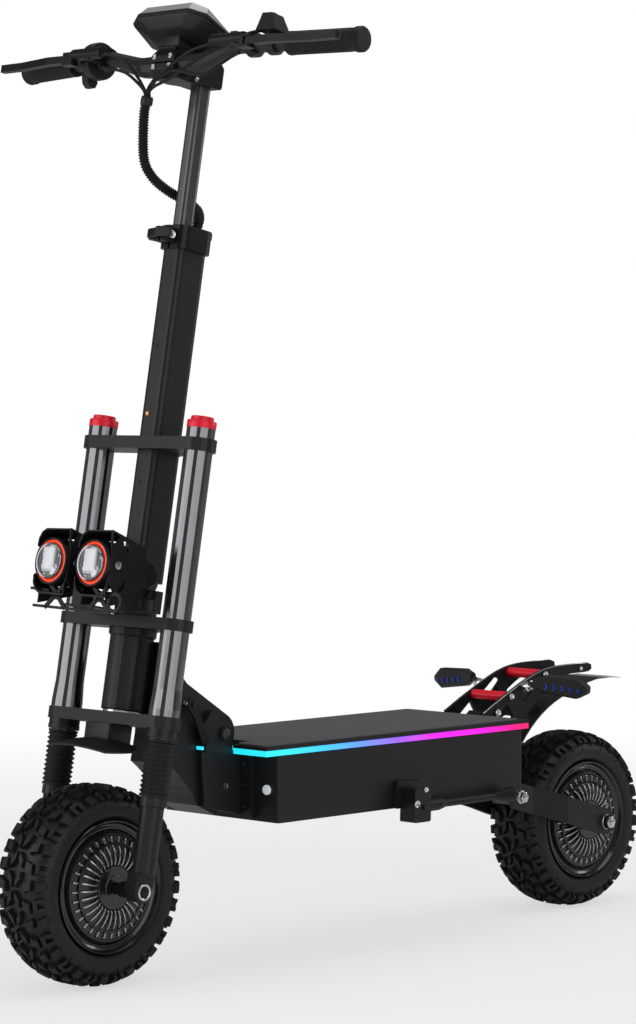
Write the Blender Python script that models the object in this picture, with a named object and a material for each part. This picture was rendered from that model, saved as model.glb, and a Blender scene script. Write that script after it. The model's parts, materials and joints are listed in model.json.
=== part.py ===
"""Electric kick scooter: dual-crown telescopic fork, folding neck, height-adjustable stem, deck with
an LED edge, sprung rear arm and two hub-motor wheels.

The scooter stands on the ground plane, heading along -Y, with the rider's left at +X and +Z up. The
origin lies on the ground midway between the axles. Everything that steers is drawn in a raked frame
whose Z runs up the steering axis and whose origin lies on that axis abreast of the front axle.
"""

import math

import bmesh
import bpy
from mathutils import Matrix, Vector

for leftover in list(bpy.data.objects):
    bpy.data.objects.remove(leftover, do_unlink=True)

# Driving dimensions, in metres
GAP = 0.0003  # between pieces that touch, or turn or slide on each other
WHEELBASE = 1.0426
TYRE_RADIUS = 0.143
TYRE_WIDTH = 0.098
RIM_RADIUS = 0.094
AXLE_RADIUS = 0.008
AXLE_END_RADIUS = 0.006
MOTOR_HALF_WIDTH = 0.054
DISC_RADIUS = 0.068
DISC_PLACE = -0.0652  # along X, so on the rider's right

RAKE = math.radians(10.25)
FORK_OFFSET = 0.020  # the axle lies this far ahead of the steering axis
STANCHION_OFFSET = 0.0155  # and the stanchions this far
STANCHION_SPACING = 0.206
STANCHION_RADIUS = 0.0205
STANCHION_TOP = 0.6555
LEG_RADIUS = 0.017
LEG_TOP = 0.46
FORK_TRAVEL = 0.040
BOOT_RADIUS = 0.0207
BOOT_BOTTOM = 0.1325
BOOT_TOP = 0.2130
CROWN_END_RADIUS = 0.0250
CROWN_HUB_RADIUS = 0.039
LOWER_CROWN = (0.2285, 0.2455)  # lower and upper face of each crown, up the steering axis
MID_CROWN = (0.3665, 0.3830)
TOP_CROWN = (0.6225, 0.6405)
STEERER_RADIUS = 0.016
STEERER_TOP = 0.430
HEAD_TUBE_RADIUS = 0.0315
BEARING_RADIUS = 0.026

STEM_WIDTH = 0.041
STEM_DEPTH = 0.055
STEM_CORNER = 0.010
STEM_SHIFT = 0.0042  # the outer stem stands this far behind the steering axis
INNER_SHIFT = -0.006  # and the inner stem ahead of it, which leaves room for the conduit
STEM_BOTTOM = 0.4355
STEM_TOP = 0.9235
STEM_BASE_RADIUS = 0.0265
INNER_STEM_WIDTH = 0.024
INNER_STEM_DEPTH = 0.026
INNER_STEM_BOTTOM = 0.650
INNER_STEM_TOP = 1.186
COLLAR = (0.9165, 0.9505)
COLLAR_WALL = 0.0055

BAR_HEIGHT = 1.1757  # the handlebar's centre, up the steering axis
BAR_REACH = 0.0654  # and ahead of it
BAR_RADIUS = 0.0159
BAR_END_RADIUS = 0.0111
BAR_HALF_LENGTH = 0.3445
DISPLAY_CENTRE = (0, -0.341, 1.356)
DISPLAY_LEAN = 34  # degrees that its face leans to the rider
GRIP_RADIUS = 0.0165
GRIP_INNER = 0.222

DECK_HALF_WIDTH = 0.1193
DECK_FRONT = -0.263
DECK_REAR = 0.276
DECK_BOTTOM = 0.2157
DECK_TOP = 0.3140
DECK_WALL = 0.003
LID_HALF_WIDTH = 0.1225
LID_FRONT = -0.2905
LID_REAR = 0.288
LID_THICKNESS = 0.005
STRIP_HEIGHT = 0.0085
STRIP_DEPTH = 0.004
NOTCH = 0.054  # half width of the lid's front notch, which clears the neck
PAD_THICKNESS = 0.0022
PAD_MARGIN = 0.004

FOLD_PIVOT = (-0.304, 0.344)  # Y and Z
FOLD_PIN_RADIUS = 0.007
CHEEK_OUTER = 0.050
CHEEK_THICKNESS = 0.0095
LATCH_FOOT = (-0.3440, 0.3300)  # its pin on the bracket
LATCH_CATCH = (-0.3697, 0.3908)  # and the pin on the neck that it holds
LATCH_PIN_RADIUS = 0.004
NECK_NOSE_RADIUS = 0.200  # the curved front of the neck, about the front axle

ARM_PIVOT = (0.330, 0.1985)
ARM_HEIGHT = 0.042
ARM_THICKNESS = 0.008
ARM_INNER_PLACE = 0.066  # middle of each arm plate at the pivot
ARM_OUTER_PLACE = 0.084  # and at the axle
SHOCK_TOP = (0.303, 0.322)
SHOCK_FOOT = (0.372, 0.215)
SHOCK_RADIUS = 0.0165
MUDGUARD_RADIUS = 0.216
TAIL_PLATE_PLACE = 0.042
TAIL_PLATE_THICKNESS = 0.006
TAIL_TUBE_RADIUS = 0.0078
TAIL_FOOT = 0.272  # where the tail plates rest on the lid
STAND_PIVOT = (0.0125, 0.2175)
STAND_LENGTH = 0.220

FRONT_AXLE = Vector((0, -WHEELBASE / 2, TYRE_RADIUS))
REAR_AXLE = Vector((0, WHEELBASE / 2, TYRE_RADIUS))
UP_FORK = Vector((0, math.sin(RAKE), math.cos(RAKE)))
BACK_FROM_FORK = Vector((0, math.cos(RAKE), -math.sin(RAKE)))
LEFT_AND_RIGHT = (("left", 1), ("right", -1))


# Outlines: lists of points in a plane

def arc(centre, radius, start, end, steps=8):
    """Points round a centre, from one angle to another, in degrees."""
    turns = [math.radians(start + (end - start) * step / steps) for step in range(steps + 1)]
    return [(centre[0] + radius * math.cos(turn), centre[1] + radius * math.sin(turn)) for turn in turns]


def corner_arc(before, here, after, radius, steps):
    """Points of the arc that rounds a corner, as far as the sides that meet in it allow."""
    here = Vector(here)
    before, after = Vector(before) - here, Vector(after) - here
    half = before.angle(after) / 2
    reach = min(radius / math.tan(half), before.length * 0.49, after.length * 0.49)
    middle = here + (before.normalized() + after.normalized()).normalized() * reach / math.cos(half)
    first = here + before.normalized() * reach - middle
    last = here + after.normalized() * reach - middle
    return [middle + first.slerp(last, step / steps) * first.length for step in range(steps + 1)]


def rounded(corners, radius, steps=3):
    """A closed outline through the corners, each one rounded."""
    following = corners[1:] + corners[:1]
    return [tuple(point) for number, (here, after) in enumerate(zip(corners, following))
            for point in corner_arc(corners[number - 1], here, after, radius, steps)]


def bent(corners, radius, steps=4):
    """An open path of straight runs with a bend of one radius at each corner, as a bent tube has."""
    path = [Vector(corners[0])]
    for before, here, after in zip(corners, corners[1:], corners[2:]):
        path += corner_arc(before, here, after, radius, steps)
    return path + [Vector(corners[-1])]


def rectangle(width, depth, radius=0.0, centre=(0, 0), steps=3):
    """A rectangle about a centre, with rounded corners where it has a radius."""
    right, top = width / 2, depth / 2
    corners = [(centre[0] + x, centre[1] + y)
               for x, y in ((-right, -top), (right, -top), (right, top), (-right, top))]
    return rounded(corners, radius, steps) if radius else corners


def smooth_path(knots, per_span=5):
    """Points on a smooth curve through the knots."""
    knots = [Vector(knot) for knot in knots]
    ends = [2 * knots[0] - knots[1]] + knots + [2 * knots[-1] - knots[-2]]
    path = []
    for a, b, c, d in zip(ends, ends[1:], ends[2:], ends[3:]):
        for step in range(per_span):
            t = step / per_span
            path.append(0.5 * (2 * b + (c - a) * t + (2 * a - 5 * b + 4 * c - d) * t * t
                               + (3 * b - a - 3 * c + d) * t ** 3))
    return path + [knots[-1]]


# Solids: each function returns a bmesh

IN_PLANE = {
    "X": lambda a, b, along: (along, a, b),
    "Y": lambda a, b, along: (a, along, b),
    "Z": lambda a, b, along: (a, b, along),
}
TO_AXIS = {
    "X": Matrix.Rotation(math.pi / 2, 4, "Y"),
    "Y": Matrix.Rotation(-math.pi / 2, 4, "X"),
    "Z": Matrix.Identity(4),
}


def facing_out(shape):
    bmesh.ops.recalc_face_normals(shape, faces=shape.faces)
    return shape


def prism(outline, axis, low, high):
    """An outline in the plane square to an axis, extruded along that axis."""
    shape = bmesh.new()
    place = IN_PLANE[axis]
    face = shape.faces.new([shape.verts.new(place(a, b, low)) for a, b in outline])
    grown = bmesh.ops.extrude_face_region(shape, geom=[face])["geom"]
    corners = [item for item in grown if isinstance(item, bmesh.types.BMVert)]
    bmesh.ops.translate(shape, verts=corners, vec=place(0, 0, high - low))
    return facing_out(shape)


def loft(sections):
    """Outlines of equal length, as lists of 3-D points, bridged one to the next and closed at the ends."""
    shape = bmesh.new()
    loops = []
    for section in sections:
        ring = [shape.verts.new(point) for point in section]
        loops.append([shape.edges.new(pair) for pair in zip(ring, ring[1:] + ring[:1])])
    for lower, upper in zip(loops, loops[1:]):
        bmesh.ops.bridge_loops(shape, edges=lower + upper)
    bmesh.ops.holes_fill(shape, edges=loops[0] + loops[-1])
    return facing_out(shape)


def lathe(outline, axis="Z", steps=32, centre=(0, 0, 0)):
    """A closed (radius, along) outline turned about an axis through a centre."""
    shape = bmesh.new()
    ring = [shape.verts.new((radius, 0, along)) for radius, along in outline]
    for first, second in zip(ring, ring[1:] + ring[:1]):
        if max(first.co.x, second.co.x) > 0:
            shape.edges.new((first, second))
    bmesh.ops.spin(shape, geom=shape.verts[:] + shape.edges[:], cent=(0, 0, 0), axis=(0, 0, 1),
                   angle=math.tau, steps=steps, use_merge=True)
    bmesh.ops.remove_doubles(shape, verts=shape.verts, dist=1e-6)
    bmesh.ops.transform(shape, matrix=Matrix.Translation(centre) @ TO_AXIS[axis], verts=shape.verts)
    return facing_out(shape)


def rod(start, end, radius, steps=16):
    """A round bar from one point to another."""
    start, end = Vector(start), Vector(end)
    shape = bmesh.new()
    bmesh.ops.create_cone(shape, cap_ends=True, segments=steps, radius1=radius, radius2=radius,
                          depth=(end - start).length)
    turn = Vector((0, 0, 1)).rotation_difference(end - start).to_matrix().to_4x4()
    bmesh.ops.transform(shape, matrix=Matrix.Translation((start + end) / 2) @ turn, verts=shape.verts)
    return shape


def block(low, high):
    """A box between two corners."""
    return prism([(low[0], low[1]), (high[0], low[1]), (high[0], high[1]), (low[0], high[1])],
                 "Z", low[2], high[2])


def mirrored(shape, side):
    """The shape itself on the left, and its reflection in the plane X = 0 on the right."""
    if side < 0:
        bmesh.ops.transform(shape, matrix=Matrix.Scale(-1, 4, (1, 0, 0)), verts=shape.verts)
    return facing_out(shape)


def turned(shape, matrix):
    bmesh.ops.transform(shape, matrix=matrix, verts=shape.verts)
    return shape


# Finishes, frames and pieces

def finish(name, colour, roughness, metallic=0.0, glow=0.0):
    material = bpy.data.materials.new(name)
    material.use_nodes = True
    surface = material.node_tree.nodes["Principled BSDF"]
    surface.inputs["Base Color"].default_value = (*colour, 1)
    surface.inputs["Roughness"].default_value = roughness
    surface.inputs["Metallic"].default_value = metallic
    if glow:
        surface.inputs["Emission Color"].default_value = (*colour, 1)
        surface.inputs["Emission Strength"].default_value = glow
    return material


BLACK_PAINT = finish("black_paint", (0.012, 0.012, 0.013), 0.45)
BLACK_METAL = finish("black_metal", (0.02, 0.02, 0.022), 0.35, 0.6)
DARK_CHROME = finish("dark_chrome", (0.05, 0.05, 0.055), 0.12, 1.0)
CHROME = finish("chrome", (0.75, 0.75, 0.77), 0.15, 1.0)
RED = finish("red_anodised", (0.75, 0.015, 0.025), 0.35, 0.5)
RUBBER = finish("rubber", (0.015, 0.015, 0.015), 0.75)
PLASTIC = finish("black_plastic", (0.016, 0.016, 0.018), 0.5)
GRIPTAPE = finish("griptape", (0.09, 0.09, 0.10), 0.85)
CELLS = finish("battery_wrap", (0.02, 0.10, 0.30), 0.5)
LIGHT_STRIP = finish("light_strip", (0.25, 0.15, 0.95), 0.4, glow=2.0)


def frame(name, place, rake=0.0, home=None):
    """An empty that carries pieces: a moving group's sits on its joint's axis."""
    empty = bpy.data.objects.new(name, None)
    bpy.context.collection.objects.link(empty)
    empty.parent = home
    empty.location = place
    empty.rotation_euler.x = -rake
    return empty


def put(name, shape, home):
    mesh = bpy.data.meshes.new(name)
    shape.to_mesh(mesh)
    shape.free()
    mesh.shade_smooth()
    mesh.set_sharp_from_angle(angle=math.radians(35))
    thing = bpy.data.objects.new(name, mesh)
    bpy.context.collection.objects.link(thing)
    thing.parent = home
    return thing


def piece(name, surface, home, body, add=(), cut=(), soften=0.0):
    """One sub-part: a body with other shapes joined to it and cuts taken out, all in its home's frame."""
    thing = put(name, body, home)
    thing.data.materials.append(surface)
    if soften:
        bevel = thing.modifiers.new("Soft edges", "BEVEL")
        bevel.width = soften
        bevel.segments = 1
        bevel.limit_method = "ANGLE"
        bevel.angle_limit = math.radians(50)
    for verb, helpers in (("UNION", add), ("DIFFERENCE", cut)):
        for number, helper in enumerate(helpers):
            tool = put(f"{name}_{verb.lower()}_{number}", helper, home)
            tool.hide_render = True
            tool.display_type = "WIRE"
            step = thing.modifiers.new(f"{verb.title()} {number}", "BOOLEAN")
            step.operation = verb
            step.solver = "EXACT"
            step.object = tool
    return thing


def tube(name, surface, home, path, radius, swell=None, sides=3):
    """A round tube along a path; swell gives each point's share of the radius."""
    curve = bpy.data.curves.new(name, "CURVE")
    curve.dimensions = "3D"
    curve.bevel_depth = radius
    curve.bevel_resolution = sides
    curve.use_fill_caps = True
    spline = curve.splines.new("POLY")
    spline.points.add(len(path) - 1)
    for number, point in enumerate(path):
        spline.points[number].co = (*point, 1)
        spline.points[number].radius = swell[number] if swell else 1.0
    curve.materials.append(surface)
    thing = bpy.data.objects.new(name, curve)
    bpy.context.collection.objects.link(thing)
    thing.parent = home
    return thing


# Frames of the groups

deck = frame("deck_frame", (0, 0, 0))
neck = frame("neck_frame_pivot", (0, *FOLD_PIVOT))
steering = frame("steering_frame", FRONT_AXLE + FORK_OFFSET * BACK_FROM_FORK, RAKE)
front_hub = frame("front_wheel_frame", FRONT_AXLE)
rear_hub = frame("rear_wheel_frame", REAR_AXLE)
arm = frame("swingarm_frame", (0, *ARM_PIVOT))
stand = frame("kickstand_frame", (0, *STAND_PIVOT))


def in_steering(point):
    """A point of the scooter's frame, given in the steering frame."""
    away = Vector(point) - steering.location
    return Vector((away.x, away.dot(BACK_FROM_FORK), away.dot(UP_FORK)))


# Wheels, axles and brakes

def tyre_outline():
    """Half-open section of the tyre: tread, side walls and two beads, as (radius, across)."""
    half = TYRE_WIDTH / 2
    bead = RIM_RADIUS - 0.0035
    outer = [(bead, 0.0315), (RIM_RADIUS + 0.002, 0.0380), (TYRE_RADIUS - 0.028, half),
             (TYRE_RADIUS - 0.010, half - 0.004), (TYRE_RADIUS, 0.020)]
    inner = [(TYRE_RADIUS - 0.014, 0.024), (TYRE_RADIUS - 0.030, 0.0400), (bead, 0.0225)]
    right = outer + [(radius, -across) for radius, across in reversed(outer)]
    left = [(radius, -across) for radius, across in reversed(inner)]
    return right + left + inner


def hub_outline():
    """The rim and the motor shell that carries it, turned in one piece, as (radius, across)."""
    half = [(AXLE_RADIUS + GAP, MOTOR_HALF_WIDTH), (0.028, MOTOR_HALF_WIDTH + 0.001),
            (0.074, MOTOR_HALF_WIDTH - 0.006), (0.079, 0.0340), (RIM_RADIUS - 0.0015, 0.0400),
            (RIM_RADIUS - 0.0005, 0.0380), (RIM_RADIUS - 0.0040, 0.0318), (RIM_RADIUS - 0.0060, 0.0160)]
    return half + [(radius, -across) for radius, across in reversed(half)]


def brake_disc():
    """The brake disc and the boss that it is bolted to on the motor's right side."""
    half = 0.001
    return lathe([(AXLE_RADIUS + 3 * GAP, -MOTOR_HALF_WIDTH + 0.002), (0.022, -MOTOR_HALF_WIDTH + 0.002),
                  (0.022, DISC_PLACE + half), (DISC_RADIUS, DISC_PLACE + half),
                  (DISC_RADIUS, DISC_PLACE - half), (AXLE_RADIUS + 3 * GAP, DISC_PLACE - half)], "X", 32)


def make_wheel(end, hub):
    steps = 36
    outline = [(radius / math.cos(math.pi / steps), across) for radius, across in tyre_outline()]
    resting = Matrix.Rotation(math.pi / steps, 4, "X")  # so that a facet's middle meets the ground
    piece(f"{end}_tyre", RUBBER, hub, turned(lathe(outline, "X", steps), resting))
    piece(f"{end}_hub_motor", BLACK_METAL, hub, lathe(hub_outline(), "X", 32), add=[brake_disc()])


def axle_outline(seat, reach, nut=0.009):
    """A stepped axle with washers and nuts outside the plates that it is clamped in, as (radius, along)."""
    shoulder = abs(DISC_PLACE) + 0.0020
    half = [(AXLE_RADIUS, shoulder), (0.0115, shoulder + 0.0020),
            (0.0115, seat - GAP), (AXLE_END_RADIUS, seat - GAP), (AXLE_END_RADIUS, seat + reach + GAP),
            (0.0115, seat + reach + GAP), (0.0115, seat + reach + nut), (0.0, seat + reach + nut)]
    return half + [(radius, -along) for radius, along in reversed(half)]


def caliper(centre):
    """A brake caliper that straddles the disc's edge, with its bridge outside it."""
    return prism(rectangle(0.030, 0.046, 0.008, centre), "X", DISC_PLACE - 0.0125, DISC_PLACE + 0.0105)


def disc_slot(axle_place):
    """The room that a caliper leaves for the disc to turn in."""
    return lathe([(0, DISC_PLACE - 0.0022), (DISC_RADIUS + 0.0015, DISC_PLACE - 0.0022),
                  (DISC_RADIUS + 0.0015, DISC_PLACE + 0.0022), (0, DISC_PLACE + 0.0022)], "X", 48, axle_place)


# Steering group

def crown(name, span, cut):
    """A fork crown: round ends that clamp the stanchions and a hub on the steering axis."""
    low, high = span
    reach = STANCHION_SPACING / 2
    bridge = arc((reach, -STANCHION_OFFSET), CROWN_END_RADIUS, -90, 90, 10)
    bridge += arc((-reach, -STANCHION_OFFSET), CROWN_END_RADIUS, 90, 270, 10)
    holes = [lathe([(0, low - 0.01), (STANCHION_RADIUS + GAP, low - 0.01), (STANCHION_RADIUS + GAP, high + 0.01),
                    (0, high + 0.01)], steps=20, centre=(side * reach, -STANCHION_OFFSET, 0))
             for _, side in LEFT_AND_RIGHT]
    hub = rod((0, 0, low), (0, 0, high), CROWN_HUB_RADIUS, 24)
    return piece(name, BLACK_PAINT, steering, prism(bridge, "Z", low, high), add=[hub], cut=holes + list(cut))


def stem_outline(margin=0.0):
    """Section of the outer stem, grown by a margin."""
    return rectangle(STEM_WIDTH + 2 * margin, STEM_DEPTH + 2 * margin, STEM_CORNER + margin, (0, STEM_SHIFT), 4)


def inner_outline(margin=0.0):
    """Section of the inner stem that slides in it, grown by a margin."""
    return rectangle(INNER_STEM_WIDTH + 2 * margin, INNER_STEM_DEPTH + 2 * margin, 0.008 + margin,
                     (0, INNER_SHIFT), 4)


def make_crowns():
    steerer = rod((0, 0, LOWER_CROWN[0] + 0.004), (0, 0, STEERER_TOP), STEERER_RADIUS, 24)
    lower = crown("lower_crown", LOWER_CROWN, [])
    join(lower, steerer)
    crown("mid_crown", MID_CROWN,
          [rod((0, 0, MID_CROWN[0] - 0.01), (0, 0, MID_CROWN[1] + 0.01), STEERER_RADIUS + GAP, 24)])
    crown("top_crown", TOP_CROWN,
          [prism(stem_outline(GAP), "Z", TOP_CROWN[0] - 0.01, TOP_CROWN[1] + 0.01)])


def join(thing, shape):
    """Joins one more shape to a piece that has its other modifiers already."""
    tool = put(f"{thing.name}_joined", shape, thing.parent)
    tool.hide_render = True
    tool.display_type = "WIRE"
    step = thing.modifiers.new("Union last", "BOOLEAN")
    step.operation = "UNION"
    step.solver = "EXACT"
    step.object = tool


def make_stanchions():
    bore = LEG_RADIUS + GAP
    cap = STANCHION_TOP + 0.016
    seat, flare = LOWER_CROWN[1] + GAP, STANCHION_RADIUS + 0.002
    outline = [(bore, BOOT_TOP + 0.0006), (STANCHION_RADIUS, BOOT_TOP + 0.0006), (STANCHION_RADIUS, seat),
               (flare, seat), (flare, seat + 0.010), (STANCHION_RADIUS, seat + 0.038),
               (STANCHION_RADIUS, cap - 0.0055), (0.0160, cap - 0.0045), (0.0160, cap), (0, cap),
               (0, STANCHION_TOP - 0.012), (bore, STANCHION_TOP - 0.012)]
    for word, side in LEFT_AND_RIGHT:
        piece(f"stanchion_{word}", DARK_CHROME, steering,
              lathe(outline, steps=24, centre=(side * STANCHION_SPACING / 2, -STANCHION_OFFSET, 0)))


def make_stem():
    bore = prism(inner_outline(GAP), "Z", STEM_BOTTOM + 0.010, STEM_TOP + 0.01)
    socket = rod((0, 0, MID_CROWN[1] - 0.01), (0, 0, STEERER_TOP + GAP), STEERER_RADIUS + GAP, 24)
    base = lathe([(0, MID_CROWN[1] + GAP), (STEM_BASE_RADIUS + 0.004, MID_CROWN[1] + GAP),
                  (STEM_BASE_RADIUS + 0.004, MID_CROWN[1] + 0.008), (STEM_BASE_RADIUS - 0.003, MID_CROWN[1] + 0.012),
                  (STEM_BASE_RADIUS - 0.003, STEM_BOTTOM - 0.012), (STEM_BASE_RADIUS, STEM_BOTTOM - 0.004),
                  (STEM_BASE_RADIUS, STEM_BOTTOM + 0.004), (0, STEM_BOTTOM + 0.004)], steps=28)
    clamp_ear = prism(rounded([(-0.012, 0.020), (0.012, 0.020), (0.012, 0.040), (-0.012, 0.040)], 0.004), "Z",
                      MID_CROWN[1] + 0.010, STEM_BOTTOM - 0.010)
    slit = block((-0.0015, 0.010, MID_CROWN[1] + 0.0095), (0.0015, 0.045, STEM_BOTTOM - 0.009))
    piece("stem_outer", BLACK_PAINT, steering,
          prism(stem_outline(), "Z", STEM_BOTTOM, STEM_TOP),
          add=[base, clamp_ear], cut=[socket, bore, slit])


def make_collar():
    """The clamp that caps the outer stem, split in front, with the conduit standing on its rear."""
    low, high = COLLAR
    front = STEM_SHIFT - STEM_DEPTH / 2 - COLLAR_WALL
    rear = STEM_SHIFT + STEM_DEPTH / 2 + COLLAR_WALL
    ears = prism(rounded([(-0.0125, front + 0.006), (0.0125, front + 0.006), (0.0125, front - 0.020),
                          (-0.0125, front - 0.020)], 0.004), "Z", low + 0.006, high - 0.006)
    brim = prism(rounded([(-0.017, rear - 0.006), (0.017, rear - 0.006), (0.013, rear + 0.0060),
                          (-0.013, rear + 0.0060)], 0.004), "Z", high - 0.009, high)
    seat = prism(stem_outline(GAP), "Z", low - 0.01, STEM_TOP + GAP)
    throat = prism(inner_outline(GAP), "Z", low, high + 0.01)
    slit = block((-0.002, front - 0.03, low - 0.01), (0.002, -0.012, high + 0.01))
    piece("stem_collar", BLACK_PAINT, steering, prism(stem_outline(COLLAR_WALL), "Z", low, high),
          add=[ears, brim], cut=[seat, throat, slit])
    return front - 0.012


def make_collar_lever(lever_y):
    """The quick-release lever: a cam boss on the collar's right ear and a blade that lies across the front."""
    height = (COLLAR[0] + COLLAR[1]) / 2
    boss = rod((-0.0205, lever_y, height - 0.008), (-0.0205, lever_y, height + 0.008), 0.0075, 16)
    blade = prism(rounded([(-0.024, lever_y + 0.003), (-0.016, lever_y - 0.0076), (0.004, lever_y - 0.0135),
                           (0.030, lever_y - 0.0115), (0.031, lever_y - 0.0165), (0.002, lever_y - 0.0195),
                           (-0.022, lever_y - 0.0120), (-0.028, lever_y - 0.002)], 0.002), "Z",
                  height - 0.006, height + 0.006)
    piece("collar_lever", BLACK_METAL, steering, boss, add=[blade])


def make_headlamps():
    """Twin lamps on the mid crown: a round-nosed barrel, a body that tapers back and a slotted hood."""
    height = 0.4446
    for word, side in LEFT_AND_RIGHT:
        middle = side * 0.0435
        profile = [(-0.112, height - 0.031), (-0.112, height + 0.031), (-0.070, height + 0.033),
                   (-0.030, height + 0.012), (-0.029, height - 0.012), (-0.058, height - 0.030)]
        body = prism(rounded(profile, 0.005), "X", middle - 0.030, middle + 0.030)
        barrel = lathe([(0, -0.100), (0.034, -0.104), (0.034, -0.132), (0.0305, -0.1352), (0.026, -0.1352),
                        (0.026, -0.129), (0, -0.129)], "Y", 28, (middle, 0, height))
        foot = prism(rounded([(-0.062, MID_CROWN[1] + GAP), (-0.022, MID_CROWN[1] + GAP), (-0.022, MID_CROWN[1] + 0.006),
                              (-0.052, MID_CROWN[1] + 0.006), (-0.058, height - 0.026), (-0.074, height - 0.026)],
                             0.002), "X", middle - 0.011, middle + 0.011)
        hood_top = prism([(-0.134, height + 0.0455), (-0.078, height + 0.0300), (-0.068, height + 0.0280),
                          (-0.068, height + 0.0345), (-0.134, height + 0.0485)], "X", middle - 0.034, middle + 0.034)
        hood_low = prism([(-0.134, height - 0.0485), (-0.068, height - 0.0345), (-0.068, height - 0.0270),
                          (-0.078, height - 0.0285), (-0.134, height - 0.0455)], "X", middle - 0.034, middle + 0.034)
        notch = prism([(middle - 0.009, -0.136), (middle + 0.009, -0.136), (middle, -0.112)], "Z",
                      height - 0.06, height - 0.036)
        upper_notch = prism([(middle - 0.009, -0.136), (middle + 0.009, -0.136), (middle, -0.112)], "Z",
                            height + 0.036, height + 0.06)
        piece(f"headlamp_{word}", PLASTIC, steering, body, add=[barrel, foot, hood_top, hood_low],
              cut=[notch, upper_notch])


def make_front_mudguard():
    """A short curved guard above the front tyre, hung from the lower crown on a block."""
    inner, outer = 0.1945, 0.1975
    section = arc((0, 0), outer, 74, 112, 10) + arc((0, 0), inner, 112, 74, 10)
    shell = prism([(y - FORK_OFFSET, z) for y, z in section], "X", -0.0565, 0.0565)
    hanger = prism(rectangle(0.050, 0.045, 0.006, (0, -0.0225)), "Z", inner + 0.0005, LOWER_CROWN[0] - GAP)
    trim = prism(rectangle(0.113, 0.086, 0.020, (0, -0.029), 5), "Z", 0.10, 0.30)
    guard = piece("front_mudguard", PLASTIC, steering, shell, add=[hanger])
    keep = put("front_mudguard_keep", trim, steering)
    keep.hide_render = True
    keep.display_type = "WIRE"
    step = guard.modifiers.new("Trim", "BOOLEAN")
    step.operation = "INTERSECT"
    step.solver = "EXACT"
    step.object = keep


# Fork lowers

def make_fork_lowers():
    boot_seat = BOOT_BOTTOM - GAP
    outline = [(0, 0.0225), (LEG_RADIUS - 0.002, 0.0225), (LEG_RADIUS, 0.0265), (LEG_RADIUS, 0.1185),
               (LEG_RADIUS + 0.0025, 0.1195), (LEG_RADIUS + 0.0025, boot_seat), (LEG_RADIUS, boot_seat),
               (LEG_RADIUS, LEG_TOP), (LEG_RADIUS - 0.004, LEG_TOP), (LEG_RADIUS - 0.004, 0.070), (0, 0.070)]
    dropout = rounded([(-STANCHION_OFFSET - 0.0155, 0.034), (-FORK_OFFSET - 0.0165, 0.006),
                       (-FORK_OFFSET - 0.0125, -0.0150), (-FORK_OFFSET + 0.0125, -0.0150),
                       (-FORK_OFFSET + 0.0165, 0.006), (-STANCHION_OFFSET + 0.0155, 0.034)], 0.012)
    place = STANCHION_SPACING / 2
    for word, side in LEFT_AND_RIGHT:
        lug = mirrored(prism(dropout, "X", place - 0.0125, place + 0.0085), side)
        bore = rod((side * (place - 0.02), -FORK_OFFSET, 0), (side * (place + 0.02), -FORK_OFFSET, 0),
                   AXLE_END_RADIUS + GAP)
        extra = []
        if side < 0:
            extra = [block((-place - 0.004, -0.006, 0.044), (-place + 0.0130, 0.030, 0.056))]
        piece(f"fork_leg_{word}", BLACK_PAINT, steering,
              lathe(outline, steps=20, centre=(side * place, -STANCHION_OFFSET, 0)),
              add=[lug] + extra, cut=[bore])
    piece("front_axle", CHROME, front_hub, lathe(axle_outline(place - 0.0125, 0.021, 0.003), "X", 16))
    piece("front_caliper", BLACK_METAL, steering, caliper((0.036, 0.050)),
          add=[block((-place + 0.0133, 0.022, 0.040), (DISC_PLACE - 0.008, 0.046, 0.060))],
          cut=[disc_slot((0, -FORK_OFFSET, 0))])


def boot_outline():
    """The corrugated dust boot: rings of two radii between its clamped ends, as (radius, along)."""
    folds = 7
    span = (BOOT_TOP - BOOT_BOTTOM) / (2 * folds)
    outer = [(BOOT_RADIUS - 0.0035 * (number % 2), BOOT_BOTTOM + span * number) for number in range(2 * folds + 1)]
    bore = LEG_RADIUS + 2 * GAP
    return outer + [(bore, BOOT_TOP), (bore, BOOT_BOTTOM)]


def make_boots():
    for word, side in LEFT_AND_RIGHT:
        piece(f"fork_boot_{word}", RUBBER, steering,
              lathe(boot_outline(), steps=16, centre=(side * STANCHION_SPACING / 2, -STANCHION_OFFSET, 0)))


# Height-adjustable stem, handlebar and controls

def bar_corners(side):
    """Corners of one half of the handlebar's centre line, in the steering frame."""
    corners = [(0, -0.3572, 1.3072), (0.062, -0.3572, 1.3078), (0.128, -0.3544, 1.3262),
               (BAR_HALF_LENGTH, -0.326, 1.3225)]
    return [in_steering((side * x, y, z)) for x, y, z in corners]


def grip_frame(side):
    """A frame at the grip's inner end whose X runs out along the bar."""
    bend, outer = bar_corners(side)[-2:]
    inner = bend.lerp(outer, (GRIP_INNER - abs(bend.x)) / (abs(outer.x) - abs(bend.x)))
    turn = Vector((1, 0, 0)).rotation_difference(outer - inner).to_matrix().to_4x4()
    return Matrix.Translation(inner) @ turn, (outer - inner).length


def bar_ring(side, place, radius, half_width, inner_radius):
    """A band round the bar, place metres inboard of the grip's inner end."""
    home, _ = grip_frame(side)
    band = lathe([(inner_radius, -half_width), (radius, -half_width), (radius, half_width),
                  (inner_radius, half_width)], "X", 24, (-place, 0, 0))
    return turned(band, home)


def make_inner_stem():
    wall = 0.0035
    piece("stem_inner", BLACK_METAL, steering,
          prism(inner_outline(), "Z", INNER_STEM_BOTTOM, INNER_STEM_TOP),
          cut=[prism(inner_outline(-wall), "Z", INNER_STEM_BOTTOM - 0.01, INNER_STEM_TOP - 0.02)])


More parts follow.
